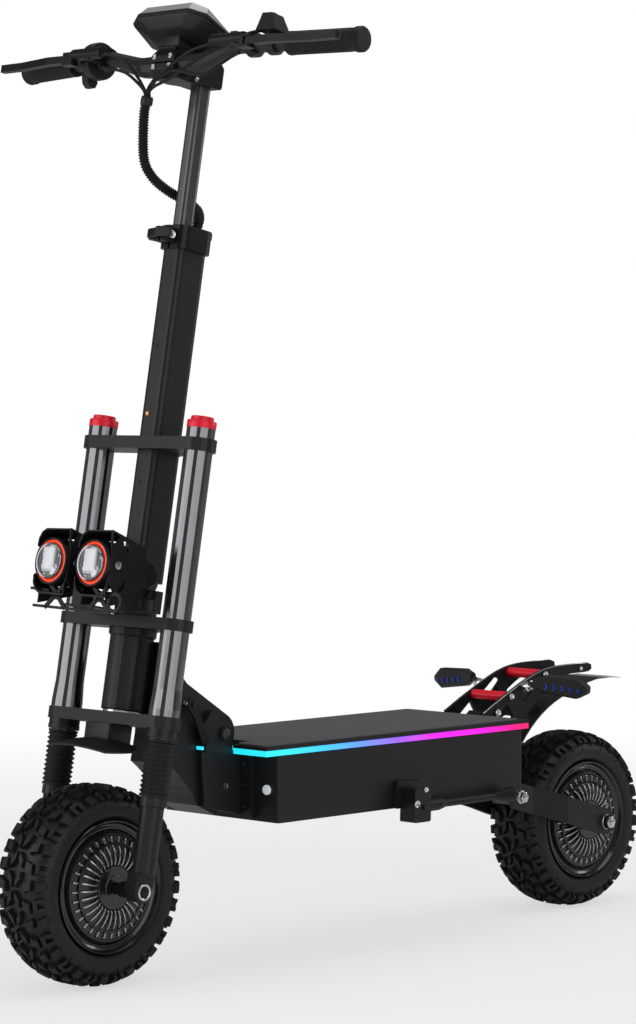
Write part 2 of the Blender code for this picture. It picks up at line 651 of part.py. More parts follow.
def make_bar_clamp():
    """The stem head: a sleeve on the inner stem, an arm reaching forward and a split ring round the bar."""
    half = 0.024
    sleeve = INNER_STEM_TOP - 0.030
    rear, front = INNER_SHIFT + 0.019, INNER_SHIFT - 0.020
    profile = [(rear, sleeve), (rear, INNER_STEM_TOP + 0.002), (rear - 0.006, INNER_STEM_TOP + 0.008),
               (-BAR_REACH + 0.012, BAR_HEIGHT + 0.021), (-BAR_REACH - 0.012, BAR_HEIGHT + 0.021),
               (-BAR_REACH - 0.022, BAR_HEIGHT + 0.010), (-BAR_REACH - 0.022, BAR_HEIGHT - 0.010),
               (-BAR_REACH - 0.010, BAR_HEIGHT - 0.022), (-BAR_REACH + 0.014, BAR_HEIGHT - 0.023), (front, sleeve)]
    body = prism(rounded(profile, 0.005), "X", -half, half)
    socket = prism(inner_outline(GAP), "Z", sleeve - 0.01, INNER_STEM_TOP + GAP)
    centre = bar_corners(1)[0]
    bore = rod((-0.05, centre.y, centre.z), (0.05, centre.y, centre.z), BAR_RADIUS + 2 * GAP, 32)
    slit = block((-0.05, -BAR_REACH - 0.04, centre.z - 0.0012), (0.05, -BAR_REACH - 0.008, centre.z + 0.0012))
    rest = prism(rounded([(-BAR_REACH - 0.014, BAR_HEIGHT + 0.018), (-BAR_REACH + 0.016, BAR_HEIGHT + 0.018),
                          (-BAR_REACH + 0.022, BAR_HEIGHT + 0.025), (-BAR_REACH - 0.020, BAR_HEIGHT + 0.025)],
                         0.003), "X", -0.018, 0.018)
    piece("bar_clamp", BLACK_METAL, steering, body, add=[rest], cut=[socket, bore, slit])


def make_handlebar():
    left = bent(bar_corners(1), 0.080)
    right = [Vector((-point.x, point.y, point.z)) for point in reversed(left)]
    path = right + left[1:]
    slender = BAR_END_RADIUS / BAR_RADIUS

    def share(point):
        taper = min(1, max(0, (abs(point.x) - 0.045) / 0.070))
        return 1 + (slender - 1) * taper

    tube("handlebar", BLACK_PAINT, steering, path, BAR_RADIUS, [share(point) for point in path], sides=3)


def make_grips():
    for word, side in LEFT_AND_RIGHT:
        home, length = grip_frame(side)
        bore = BAR_END_RADIUS + GAP
        sleeve = lathe([(bore, 0.001), (GRIP_RADIUS - 0.0005, 0.001), (GRIP_RADIUS, 0.004),
                        (GRIP_RADIUS, length - 0.006), (GRIP_RADIUS + 0.0015, length - 0.004),
                        (GRIP_RADIUS + 0.0015, length + 0.003), (GRIP_RADIUS - 0.001, length + 0.0055),
                        (0, length + 0.0055), (0, length + GAP), (bore, length + GAP)], "X", 24)
        piece(f"grip_{word}", RUBBER, steering, turned(sleeve, home))


def make_display():
    """An eight-sided display that faces the rider: a flared back, a rim band and a wedge-shaped face."""
    half = [(0.0525, -0.045), (0.0765, -0.029), (0.0835, 0.024), (0.0600, 0.045)]
    outline = half + [(-x, y) for x, y in reversed(half)]
    levels = [(0.34, 0.40, -0.028, 0.0), (0.95, 0.95, -0.004, 0.0), (1.0, 1.0, 0.0, 0.0), (1.0, 1.0, 0.004, 0.0),
              (0.90, 0.88, 0.0135, -0.13)]
    lean = Matrix.Rotation(math.radians(-DISPLAY_LEAN), 4, "X")
    home = Matrix.Translation(in_steering(DISPLAY_CENTRE)) @ Matrix.Rotation(RAKE, 4, "X") @ lean
    sections = [[home @ Vector((x * wide, y * deep, rise + slope * y)) for x, y in outline]
                for wide, deep, rise, slope in levels]
    shelf = BAR_HEIGHT + 0.025 + GAP
    post = block((-0.016, -BAR_REACH - 0.010, shelf), (0.016, -BAR_REACH + 0.016, shelf + 0.016))
    seat = block((-0.0245, -BAR_REACH - 0.030, shelf - 0.040), (0.0245, 0.020, shelf))
    piece("display_housing", PLASTIC, steering, loft(sections), add=[post], cut=[seat])


def lever_place(side):
    return in_steering((side * 0.190, -0.3905, 1.3265))


def make_brakes():
    """Hydraulic brake levers: a bar band with a master cylinder, and a blade on a vertical pin."""
    for word, side in LEFT_AND_RIGHT:
        inboard = 0.062 if side > 0 else 0.078
        home, _ = grip_frame(side)
        pivot = lever_place(side)
        band = bar_ring(side, inboard, BAR_END_RADIUS + 0.0062, 0.006, BAR_END_RADIUS + GAP)
        centre = home @ Vector((-inboard, 0, 0))
        front = pivot.y
        reach = prism(rounded([(centre.x - 0.006, centre.y - BAR_END_RADIUS - 0.003),
                               (centre.x + 0.006, centre.y - BAR_END_RADIUS - 0.003),
                               (centre.x + 0.006, front - 0.005), (centre.x - 0.006, front - 0.005)], 0.001), "Z",
                      centre.z - 0.009, centre.z + 0.009)
        cylinder = rod((pivot.x - side * 0.075, front + 0.001, centre.z), (pivot.x - side * 0.012, front + 0.001, centre.z),
                       0.0088, 16)
        ears = prism(rounded([(pivot.x - side * 0.016, front - 0.0075), (pivot.x + side * 0.006, front - 0.0075),
                              (pivot.x + side * 0.006, front + 0.0075), (pivot.x - side * 0.016, front + 0.0075)],
                             0.003), "Z", pivot.z - 0.0095, pivot.z + 0.0095)
        gap = prism(rectangle(0.030, 0.030, 0, (pivot.x + side * 0.009, pivot.y)), "Z",
                    pivot.z - 0.0058, pivot.z + 0.0058)
        pin = rod((pivot.x, pivot.y, pivot.z - 0.007), (pivot.x, pivot.y, pivot.z + 0.007), 0.0022, 12)
        perch = piece(f"brake_perch_{word}", BLACK_METAL, steering, band, add=[reach, cylinder, ears], cut=[gap])
        join(perch, pin)
        make_lever(word, side, pivot)


def make_lever(word, side, pivot):
    tip = in_steering((side * 0.351, -0.3790, 1.3270))
    outline = [(pivot.x - side * 0.0055, pivot.y + 0.0055), (pivot.x + side * 0.045, pivot.y + 0.0065),
               (tip.x - side * 0.045, tip.y + 0.0050), (tip.x, tip.y + 0.0060), (tip.x, tip.y - 0.0040),
               (tip.x - side * 0.050, tip.y - 0.0060), (pivot.x + side * 0.040, pivot.y - 0.0060),
               (pivot.x - side * 0.0055, pivot.y - 0.0055)]
    blade = prism(rounded(outline, 0.0025), "Z", pivot.z - 0.0055, pivot.z + 0.0055)
    eye = rod((pivot.x, pivot.y, pivot.z - 0.02), (pivot.x, pivot.y, pivot.z + 0.02), 0.0022 + GAP, 12)
    piece(f"brake_lever_{word}", BLACK_METAL, steering, blade, cut=[eye])


def make_throttle():
    """A round throttle body on the bar with a finger trigger that turns about the bar."""
    home, _ = grip_frame(-1)
    place = -0.052
    bore = BAR_END_RADIUS + GAP
    body = lathe([(bore, -0.011), (0.0265, -0.011), (0.0280, -0.009), (0.0280, 0.004), (0.0240, 0.0085),
                  (bore, 0.0085)], "X", 28, (place, 0, 0))
    piece("throttle_housing", PLASTIC, steering, turned(body, home))
    hub = lathe([(bore, 0.0088), (0.0200, 0.0088), (0.0200, 0.0150), (bore, 0.0150)], "X", 24, (place, 0, 0))
    paddle = prism(rounded([(-0.004, -0.014), (0.012, -0.014), (0.010, -0.031), (0.004, -0.038), (-0.004, -0.038),
                            (-0.008, -0.030)], 0.003), "X", place + 0.0090, place + 0.0235)
    piece("throttle_trigger", PLASTIC, steering, turned(hub, home), add=[turned(paddle, home)])


def make_switch():
    """A light and horn switch on the left of the bar, with one button in its sloping top."""
    home, _ = grip_frame(1)
    band = bar_ring(1, 0.0265, BAR_END_RADIUS + 0.0045, 0.006, BAR_END_RADIUS + GAP)
    low = [(-0.045, -0.024, 0.015), (-0.010, -0.024, 0.015), (-0.010, 0.012, 0.015), (-0.045, 0.012, 0.015)]
    high = [(-0.040, -0.019, 0.041), (-0.023, -0.019, 0.041), (-0.023, 0.007, 0.041), (-0.040, 0.007, 0.041)]
    shell = turned(loft([low, high]), home)
    foot = turned(block((-0.033, -0.008, 0.0135), (-0.020, 0.006, 0.020)), home)
    well = turned(rod((-0.0315, -0.006, 0.032), (-0.0315, -0.006, 0.05), 0.0055 + GAP, 16), home)
    piece("switch_box", PLASTIC, steering, shell, add=[foot, band], cut=[well])
    cap = lathe([(0, 0.0345), (0.0055, 0.0345), (0.0055, 0.0425), (0.0045, 0.0435), (0, 0.0435)], "Z", 16,
                (-0.0315, -0.006, 0))
    piece("switch_button", RED, steering, turned(cap, home))


def make_conduit():
    """The corrugated cable conduit from below the handlebar round the stem's right side to its collar."""
    route = [(-0.0510, -0.3600, 1.2645), (-0.0562, -0.3620, 1.2380), (-0.0585, -0.3605, 1.1800),
             (-0.0540, -0.3495, 1.1525), (-0.0435, -0.3290, 1.1325), (-0.0300, -0.3060, 1.1175),
             (-0.0130, -0.2985, 1.1040), (-0.0020, -0.3035, 1.0910)]
    knots = [in_steering(knot) for knot in route]
    foot = COLLAR[1] + GAP
    path = smooth_path(knots + [(0, 0.0225, foot + 0.008)], 4) + [Vector((0, 0.0225, foot))]
    tube("stem_conduit", RUBBER, steering, path, 0.0075, sides=2)


# Neck and fold

def make_neck():
    """The folding neck: a head tube, a deep gusset behind it and a knuckle on the fold pin."""
    half = CHEEK_OUTER - CHEEK_THICKNESS - GAP
    low, high = LOWER_CROWN[1] + 0.0033, MID_CROWN[0] - GAP
    home = Matrix.Translation(-neck.location) @ Matrix.Translation(steering.location) @ Matrix.Rotation(-RAKE, 4, "X")
    barrel = lathe([(0, low), (HEAD_TUBE_RADIUS - 0.001, low), (HEAD_TUBE_RADIUS, low + 0.002),
                    (HEAD_TUBE_RADIUS, high - 0.012), (HEAD_TUBE_RADIUS + 0.003, high - 0.009),
                    (HEAD_TUBE_RADIUS + 0.003, high), (0, high)], steps=28)
    nose = [(y - FORK_OFFSET, z) for y, z in arc((0, 0), NECK_NOSE_RADIUS, 70, 40, 6)]
    gusset = [(0.020, 0.345), (0.020, 0.262), (0.062, 0.258), (0.066, 0.222)] + nose[1:]
    gusset += [(0.170, 0.118), (0.190, 0.150)]
    pivot = in_steering((0, *FOLD_PIVOT))
    knuckle = arc((pivot.y, pivot.z), 0.030, -15, 75, 6)
    web = prism(gusset + knuckle + [(0.081, 0.300)], "X", -half, half)
    bore = rod((-0.1, 0, 0), (0.1, 0, 0), FOLD_PIN_RADIUS + GAP, 20)
    hollow = rod((0, 0, low - 0.02), (0, 0, high + 0.02), BEARING_RADIUS + 2 * GAP, 24)
    catch_y, catch_z = LATCH_CATCH[0] - FOLD_PIVOT[0], LATCH_CATCH[1] - FOLD_PIVOT[1]
    catch = rod((half - 0.003, catch_y, catch_z), (CHEEK_OUTER + 0.008, catch_y, catch_z), LATCH_PIN_RADIUS, 12)
    piece("neck_frame", BLACK_PAINT, neck, turned(barrel, home),
          add=[turned(web, home), catch], cut=[turned(hollow, home), bore])
    bearing = lathe([(STEERER_RADIUS + GAP, LOWER_CROWN[1] + GAP), (HEAD_TUBE_RADIUS - 0.003, LOWER_CROWN[1] + GAP),
                     (HEAD_TUBE_RADIUS - 0.003, low - GAP), (BEARING_RADIUS, low - GAP),
                     (BEARING_RADIUS, low + 0.012), (STEERER_RADIUS + 0.004, low + 0.013),
                     (STEERER_RADIUS + 0.004, high - 0.014), (BEARING_RADIUS, high - 0.013),
                     (BEARING_RADIUS, high - 0.001), (STEERER_RADIUS + GAP, high - 0.001)], steps=20)
    piece("headset_bearings", CHROME, neck, turned(bearing, home))


def make_fold_bracket():
    """The deck's hinge bracket: a base plate, two cheeks and the pin that the neck turns on."""
    inner = CHEEK_OUTER - CHEEK_THICKNESS
    y, z = FOLD_PIVOT
    cheek = arc((y, z), 0.0165, 0, 60, 4) + [(-0.3290, 0.3795), (-0.3480, 0.3560), (-0.3500, 0.3100),
                                            (-0.3440, 0.2400), (DECK_FRONT - 0.008, 0.2240),
                                            (DECK_FRONT - 0.008, 0.3150), (-0.2880, 0.3200)]
    base = prism(rectangle(0.144, 0.094, 0.006, (0, 0.2660)), "Y", DECK_FRONT - 0.0095, DECK_FRONT - GAP)
    cheeks = [prism(cheek, "X", min(side * inner, side * CHEEK_OUTER), max(side * inner, side * CHEEK_OUTER))
              for _, side in LEFT_AND_RIGHT]
    pin = rod((-CHEEK_OUTER - 0.003, y, z), (CHEEK_OUTER + 0.003, y, z), FOLD_PIN_RADIUS, 20)
    heads = [rod((side * (CHEEK_OUTER - 0.001), y, z), (side * (CHEEK_OUTER + 0.0035), y, z), 0.0105, 20)
             for _, side in LEFT_AND_RIGHT]
    latch_pin = rod((inner + 0.002, *LATCH_FOOT), (CHEEK_OUTER + 0.008, *LATCH_FOOT), LATCH_PIN_RADIUS, 12)
    piece("fold_bracket", BLACK_PAINT, deck, base, add=cheeks + [pin] + heads + [latch_pin])


def make_latch():
    """The fold lock: a link on the bracket's left cheek that cradles the neck's catch pin.

    The cradle is open where the pin leaves it as the neck folds, and where the link swings off the pin.
    """
    foot, catch = Vector(LATCH_FOOT), Vector(LATCH_CATCH)
    along = (catch - foot).normalized()
    front = Vector((-along.y, along.x))
    lever = catch - Vector(FOLD_PIVOT)
    folding = Vector((lever.y, -lever.x)).normalized()

    def at(origin, forward, sideways):
        return tuple(origin + forward * along + sideways * front)

    outline = [at(foot, -0.009, -0.006), at(foot, -0.009, 0.006), at(foot, 0.022, 0.0055), at(catch, -0.016, 0.0065),
               at(catch, 0.004, 0.0115), at(catch, 0.012, 0.0075), at(catch, 0.010, -0.002), at(catch, -0.006, -0.0095),
               at(catch, -0.016, -0.0075), at(foot, 0.022, -0.0060)]
    low, high = CHEEK_OUTER + GAP, CHEEK_OUTER + 0.005
    eye = rod((low - 0.01, *foot), (high + 0.01, *foot), LATCH_PIN_RADIUS + GAP, 12)
    seat = LATCH_PIN_RADIUS + 2 * GAP
    mouth = rod((low - 0.01, *catch), (high + 0.01, *catch), seat, 12)
    ways = []
    for way in (folding, -front):
        across = Vector((-way.y, way.x)) * seat
        ways.append(prism([tuple(catch + across), tuple(catch - across), tuple(catch - across + 0.03 * way),
                           tuple(catch + across + 0.03 * way)], "X", low - 0.01, high + 0.01))
    piece("fold_latch", BLACK_METAL, deck, prism(rounded(outline, 0.002), "X", low, high), cut=[eye, mouth] + ways)


# Deck

def deck_rectangle(margin=0.0):
    length = DECK_REAR - DECK_FRONT - 2 * margin
    return rectangle(2 * (DECK_HALF_WIDTH - margin), length, 0.004, (0, (DECK_FRONT + DECK_REAR) / 2), 2)


def lid_outline(margin=0.0, rear=LID_REAR):
    wide, front = LID_HALF_WIDTH - margin, LID_FRONT + margin
    nose = NOTCH + margin
    tuck = DECK_FRONT + 0.002 + margin
    corners = [(-wide, rear), (-wide, front), (-nose, front), (-nose, tuck), (nose, tuck), (nose, front),
               (wide, front), (wide, rear)]
    return corners


def make_deck():
    lid_low = DECK_TOP + STRIP_HEIGHT + GAP
    flange = prism(deck_rectangle(), "Z", DECK_TOP, lid_low - GAP)
    cavity = prism(deck_rectangle(DECK_WALL), "Z", DECK_BOTTOM + DECK_WALL, lid_low + 0.01)
    pivot_y, pivot_z = ARM_PIVOT
    lug = rounded([(DECK_REAR - 0.002, pivot_z - 0.0125 + DECK_BOTTOM - 0.186), (DECK_REAR - 0.002, 0.250),
                   (pivot_y + 0.010, pivot_z + 0.013), (pivot_y + 0.013, pivot_z), (pivot_y + 0.006, pivot_z - 0.013),
                   (pivot_y - 0.010, pivot_z - 0.013)], 0.004)
    lugs = [prism(lug, "X", min(side * 0.030, side * 0.060), max(side * 0.030, side * 0.060))
            for _, side in LEFT_AND_RIGHT]
    pivot_rod = rod((-0.0785, pivot_y, pivot_z), (0.0785, pivot_y, pivot_z), 0.0065, 16)
    shock_y, shock_z = SHOCK_TOP
    hanger = rounded([(DECK_REAR - 0.002, 0.290), (DECK_REAR - 0.002, 0.3205), (LID_REAR + 0.002, 0.3212),
                      (shock_y + 0.004, 0.3335), (shock_y + 0.011, shock_z), (shock_y + 0.002, shock_z - 0.011)], 0.003)
    hangers = [prism(hanger, "X", min(side * 0.0125, side * 0.0175), max(side * 0.0125, side * 0.0175))
               for _, side in LEFT_AND_RIGHT]
    shock_pin = rod((-0.014, shock_y, shock_z), (0.014, shock_y, shock_z), 0.004, 12)
    piece("deck_box", BLACK_PAINT, deck, prism(deck_rectangle(), "Z", DECK_BOTTOM, DECK_TOP + 0.001),
          add=[flange] + lugs + [pivot_rod] + hangers + [shock_pin], cut=[cavity])
    strip_low, strip_high = DECK_TOP + GAP, lid_low - GAP
    wide, front, rear = LID_HALF_WIDTH - 0.0005, LID_FRONT + 0.0005, LID_REAR - 0.0005
    clear, back = DECK_HALF_WIDTH + GAP, DECK_FRONT - GAP
    left = [(clear, back), (clear, rear), (wide, rear), (wide, front), (NOTCH, front), (NOTCH, back - STRIP_DEPTH)]
    strip = left + [(-x, y) for x, y in reversed(left)]
    piece("deck_led_strip", LIGHT_STRIP, deck, prism(strip, "Z", strip_low, strip_high))
    piece("deck_lid", BLACK_PAINT, deck, prism(lid_outline(), "Z", lid_low, lid_low + LID_THICKNESS))
    pad_low = lid_low + LID_THICKNESS + GAP
    piece("grip_pad", GRIPTAPE, deck,
          prism(rounded(lid_outline(PAD_MARGIN, TAIL_FOOT - 0.003), 0.006, 2), "Z", pad_low, pad_low + PAD_THICKNESS))


def make_inside():
    """The battery pack and the motor controller, seated on the deck's floor."""
    floor = DECK_BOTTOM + DECK_WALL + GAP
    pack = rectangle(2 * DECK_HALF_WIDTH - 0.030, 0.340, 0.006, (0, 0.085))
    piece("battery_pack", CELLS, deck, prism(pack, "Z", floor, floor + 0.078))
    box = prism(rectangle(0.150, 0.120, 0.003, (0, -0.170)), "Z", floor, floor + 0.045)
    grooves = [block((-0.08, -0.222 + 0.018 * number, floor + 0.036), (0.08, -0.214 + 0.018 * number, floor + 0.05))
               for number in range(6)]
    piece("motor_controller", BLACK_METAL, deck, box, cut=grooves)


# Tail

def tail_outline():
    """Side view of a tail plate: an arch from the deck's rear edge back over the mudguard."""
    lid_low = DECK_TOP + STRIP_HEIGHT + GAP
    lid_top = lid_low + LID_THICKNESS
    upper = smooth_path([(TAIL_FOOT, lid_top + 0.005, 0), (0.330, 0.3605, 0), (0.396, 0.3875, 0),
                         (0.448, 0.3975, 0), (0.5284, 0.3987, 0)], 4)
    lower = smooth_path([(0.521, 0.3836, 0), (0.470, 0.3810, 0), (0.425, 0.3610, 0), (0.385, 0.3330, 0),
                         (0.352, 0.2990, 0)], 3)
    tip = [(0.5375, 0.3950), (0.5380, 0.3880), (0.5310, 0.3845)]
    foot = [(0.318, 0.262), (DECK_REAR + GAP, 0.262), (DECK_REAR + GAP, lid_low - GAP),
            (LID_REAR + GAP, lid_low - GAP), (LID_REAR + GAP, lid_top + GAP), (TAIL_FOOT, lid_top + GAP)]
    return [(point.x, point.y) for point in upper] + tip + [(point.x, point.y) for point in lower] + foot


def make_tail():
    windows = [rounded([(0.352, 0.352), (0.388, 0.3790), (0.404, 0.3745), (0.372, 0.345)], 0.003),
               rounded([(0.300, 0.322), (0.330, 0.345), (0.345, 0.322), (0.320, 0.296)], 0.004)]
    tubes = (("lower", (0.3370, 0.3550)), ("upper", (0.4240, 0.3850)))
    inner = TAIL_PLATE_PLACE - TAIL_PLATE_THICKNESS
    for word, side in LEFT_AND_RIGHT:
        low, high = sorted((side * inner, side * TAIL_PLATE_PLACE))
        holes = [prism(window, "X", low - 0.01, high + 0.01) for window in windows]
        piece(f"tail_plate_{word}", BLACK_METAL, deck, prism(tail_outline(), "X", low, high), cut=holes)
    for word, (y, z) in tubes:
        reach = inner - GAP
        piece(f"tail_tube_{word}", RED, deck, rod((-reach, y, z), (reach, y, z), TAIL_TUBE_RADIUS, 20))


def make_rear_mudguard():
    """A curved guard behind the deck and over the rear tyre, with a flap that runs on behind it."""
    wall = 0.003
    centre = (REAR_AXLE.y, REAR_AXLE.z)
    upper = arc(centre, MUDGUARD_RADIUS + wall, 138, 96, 12)
    lower = arc(centre, MUDGUARD_RADIUS, 96, 138, 12)
    flap_top = [(0.560, 0.3720), (0.598, 0.3722), (0.620, 0.3690)]
    flap_low = [(0.619, 0.3675), (0.598, 0.3698), (0.560, 0.3692)]
    guard = prism(upper + flap_top + flap_low + lower, "X", -0.0355, 0.0355)
    notch = prism(rounded([(-0.024, 0.20), (0.024, 0.20), (0.024, 0.318), (-0.024, 0.318)], 0.008), "Y", 0.28, 0.42)
    skirts = [prism(arc(centre, MUDGUARD_RADIUS + wall, 146, 100, 10) + arc(centre, MUDGUARD_RADIUS, 100, 146, 10),
                    "X", min(side * 0.0345, side * 0.052), max(side * 0.0345, side * 0.052))
              for _, side in LEFT_AND_RIGHT]
    face = TAIL_PLATE_PLACE - TAIL_PLATE_THICKNESS - GAP
    tabs = [block((min(side * (face - 0.005), side * face), 0.392, 0.320),
                  (max(side * (face - 0.005), side * face), 0.412, 0.372)) for _, side in LEFT_AND_RIGHT]
    piece("rear_mudguard", PLASTIC, deck, guard, add=skirts + tabs, cut=[notch])


def make_turn_signals():
    """Arrow-shaped turn signals on stalks that stand out of the tail plates."""
    for word, side in LEFT_AND_RIGHT:
        start, end = Vector((0.066, 0.369, 0.378)), Vector((0.164, 0.388, 0.370))
        ends = [(0.0, 0.006, 0.007), (0.020, 0.010, 0.014), (0.078, 0.009, 0.0165), (0.097, 0.006, 0.006)]
        along = (end - start).normalized()
        turn = Vector((1, 0, 0)).rotation_difference(along).to_matrix().to_4x4()
        home = Matrix.Translation(start) @ turn
        sections = [[home @ Vector((place, y, z)) for y, z in rectangle(2 * deep, 2 * tall, 0.0025, (0, 0), 1)]
                    for place, deep, tall in ends]
        stalk = rod((TAIL_PLATE_PLACE + 4 * GAP, 0.367, 0.3700), home @ Vector((0.010, 0, 0)), 0.0052, 12)
        piece(f"turn_signal_{word}", PLASTIC, deck, mirrored(loft(sections), side), add=[mirrored(stalk, side)])


# Rear arm and shock

def arm_plate(side):
    """One arm plate: bent outward between the pivot and the axle, seen from above."""
    inner, outer, half = ARM_INNER_PLACE, ARM_OUTER_PLACE, ARM_THICKNESS / 2
    run = WHEELBASE / 2 - ARM_PIVOT[0]
    plan = [(inner - half, -0.018), (inner + half, -0.018), (inner + half, 0.030), (outer + half, 0.095),
            (outer + half, run + 0.018), (outer - half, run + 0.018), (outer - half, 0.097), (inner - half, 0.032)]
    return mirrored(prism(plan, "Z", -0.12, 0.06), side)


def make_swingarm():
    run, drop = WHEELBASE / 2 - ARM_PIVOT[0], TYRE_RADIUS - ARM_PIVOT[1]
    lean = math.degrees(math.atan2(drop, run))
    half = ARM_HEIGHT / 2
    side_view = arc((run, drop), half, lean - 90, lean + 90, 8) + arc((0, 0), half, lean + 90, lean + 270, 8)
    keep = put("swingarm_side_view", prism(side_view, "X", -0.12, 0.12), arm)
    keep.hide_render = True
    keep.display_type = "WIRE"
    foot_y, foot_z = SHOCK_FOOT[0] - ARM_PIVOT[0], SHOCK_FOOT[1] - ARM_PIVOT[1]
    lug = rounded([(foot_y - 0.020, -0.004), (foot_y + 0.006, -0.010), (foot_y + 0.010, foot_z + 0.002),
                   (foot_y + 0.002, foot_z + 0.009), (foot_y - 0.008, foot_z + 0.006)], 0.003)
    lugs = [prism(lug, "X", min(side * 0.0125, side * 0.0175), max(side * 0.0125, side * 0.0175))
            for _, side in LEFT_AND_RIGHT]
    foot_pin = rod((-0.014, foot_y, foot_z), (0.014, foot_y, foot_z), 0.004, 12)
    cross = rod((-ARM_INNER_PLACE, foot_y - 0.007, -0.0045), (ARM_INNER_PLACE, foot_y - 0.007, -0.0045), 0.0095, 20)
    eye = rod((-0.1, 0, 0), (0.1, 0, 0), 0.0065 + GAP, 16)
    axle_hole = rod((-0.1, run, drop), (0.1, run, drop), AXLE_END_RADIUS + GAP, 16)
    thing = put("swingarm", arm_plate(1), arm)
    thing.data.materials.append(BLACK_PAINT)
    steps = (("UNION", put("swingarm_right_plate", arm_plate(-1), arm)), ("INTERSECT", keep))
    for verb, tool in steps:
        tool.hide_render = True
        tool.display_type = "WIRE"
        step = thing.modifiers.new(verb.title(), "BOOLEAN")
        step.operation = verb
        step.solver = "EXACT"
        step.object = tool
    for shape in [cross] + lugs + [foot_pin]:
        join(thing, shape)
    for number, shape in enumerate((eye, axle_hole)):
        tool = put(f"swingarm_hole_{number}", shape, arm)
        tool.hide_render = True
        tool.display_type = "WIRE"
        step = thing.modifiers.new(f"Hole {number}", "BOOLEAN")
        step.operation = "DIFFERENCE"
        step.solver = "EXACT"
        step.object = tool
    piece("rear_axle", CHROME, rear_hub, lathe(axle_outline(ARM_OUTER_PLACE - ARM_THICKNESS / 2, ARM_THICKNESS), "X", 16))
    inside = ARM_OUTER_PLACE - ARM_THICKNESS / 2 - GAP
    flange = prism(rounded([(-0.062, -0.004), (-0.028, -0.004), (-0.032, 0.055), (-0.058, 0.055)], 0.005), "X",
                   -inside, DISC_PLACE - 0.0100)
    piece("rear_caliper", BLACK_METAL, rear_hub, caliper((-0.045, 0.047)), add=[flange],
          cut=[disc_slot((0, 0, 0))])


def make_shock():
    """The rear shock: an upper body with a spring cup and a lower rod that slides in it."""
    top, foot = Vector((0, *SHOCK_TOP)), Vector((0, *SHOCK_FOOT))
    length = (foot - top).length
    down = (foot - top).normalized()
    turn = Vector((0, 0, -1)).rotation_difference(down).to_matrix().to_4x4()
    home = Matrix.Translation(top) @ turn
    body = lathe([(0, -0.009), (0.011, -0.011), (SHOCK_RADIUS, -0.013), (SHOCK_RADIUS, -0.018), (0.0105, -0.020),
                  (0.0105, -0.062), (0.0065 + GAP, -0.062), (0.0065 + GAP, -0.030), (0, -0.030)], steps=20)
    head = rod((-0.0122, 0, 0), (0.0122, 0, 0), 0.0095, 16)
    bush = rod((-0.02, 0, 0), (0.02, 0, 0), 0.004 + GAP, 12)
    piece("shock_body", BLACK_METAL, deck, turned(head, home), add=[turned(body, home)], cut=[turned(bush, home)])
    stem = lathe([(0, -0.048), (0.0065, -0.048), (0.0065, -length + 0.024), (SHOCK_RADIUS, -length + 0.022),
                  (SHOCK_RADIUS, -length + 0.017), (0.009, -length + 0.014), (0, -length + 0.006)], steps=20)
    lower_eye = rod((-0.0122, 0, -length), (0.0122, 0, -length), 0.0085, 16)
    hole = rod((-0.02, 0, -length), (0.02, 0, -length), 0.004 + 0.0008, 12)
    piece("shock_rod", CHROME, deck, turned(lower_eye, home), add=[turned(stem, home)], cut=[turned(hole, home)])


# Kickstand

def make_kickstand():
    """The side stand: a bolted bracket on the deck's left wall and a leg that lies back when stowed."""
    y, z = STAND_PIVOT
    wall = DECK_HALF_WIDTH + GAP
    plate = prism(rounded([(y - 0.036, z - 0.002), (y + 0.034, z - 0.002), (y + 0.030, z + 0.036), (y - 0.030, z + 0.040)],
                          0.006), "X", wall, wall + 0.006)
    box = prism(rounded([(y - 0.022, z - 0.022), (y + 0.014, z - 0.022), (y + 0.016, z + 0.026), (y - 0.020, z + 0.030)],
                        0.003), "X", wall + 0.004, wall + 0.034)
    slot = prism([(y - 0.0125, z - 0.04), (y + 0.04, z - 0.04), (y + 0.04, z + 0.0125), (y - 0.0125, z + 0.0125)], "X",
                 wall + 0.0087, wall + 0.0293)
    pin = rod((wall + 0.006, y, z), (wall + 0.037, y, z), 0.004, 16)
    bracket = piece("kickstand_bracket", BLACK_PAINT, deck, plate, add=[box], cut=[slot])
    join(bracket, pin)
    centre = wall + 0.019
    sleeve = lathe([(0, 0.004), (0.0080, 0.006), (0.0098, 0.014), (0.0095, 0.046), (0.0060, 0.062),
                    (0.0056, STAND_LENGTH - 0.046), (0.0075, STAND_LENGTH - 0.034), (0.0120, STAND_LENGTH - 0.006),
                    (0.0110, STAND_LENGTH), (0, STAND_LENGTH)], "Y", 20, (centre, 0, 0))
    knuckle = rod((centre - 0.0080, 0, 0), (centre + 0.0080, 0, 0), 0.0105, 20)
    eye = rod((centre - 0.02, 0, 0), (centre + 0.02, 0, 0), 0.004 + GAP, 16)
    piece("kickstand_leg", BLACK_METAL, stand, sleeve, add=[knuckle], cut=[eye])


make_wheel("front", front_hub)
make_wheel("rear", rear_hub)
make_crowns()
make_stanchions()
make_stem()
make_collar_lever(make_collar())
make_headlamps()
make_front_mudguard()
make_fork_lowers()
make_boots()
make_inner_stem()
make_bar_clamp()
make_handlebar()
make_grips()
make_display()
make_brakes()
make_throttle()
make_switch()
make_conduit()
make_neck()
make_fold_bracket()
make_latch()
make_deck()
make_inside()
make_tail()
make_rear_mudguard()
make_turn_signals()
make_swingarm()
make_shock()
make_kickstand()
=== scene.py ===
"""Looks of the electric kick scooter: finishes for every solid, block-tread tyres, finned hub motors,
twin headlamps, dust boots, cables, lights and the studio. Lengths are metres, in the scooter's frame:
it heads along -Y, with the rider's left at +X and +Z up.
"""

import json
import math

import bmesh
import bpy
from mathutils import Matrix, Vector

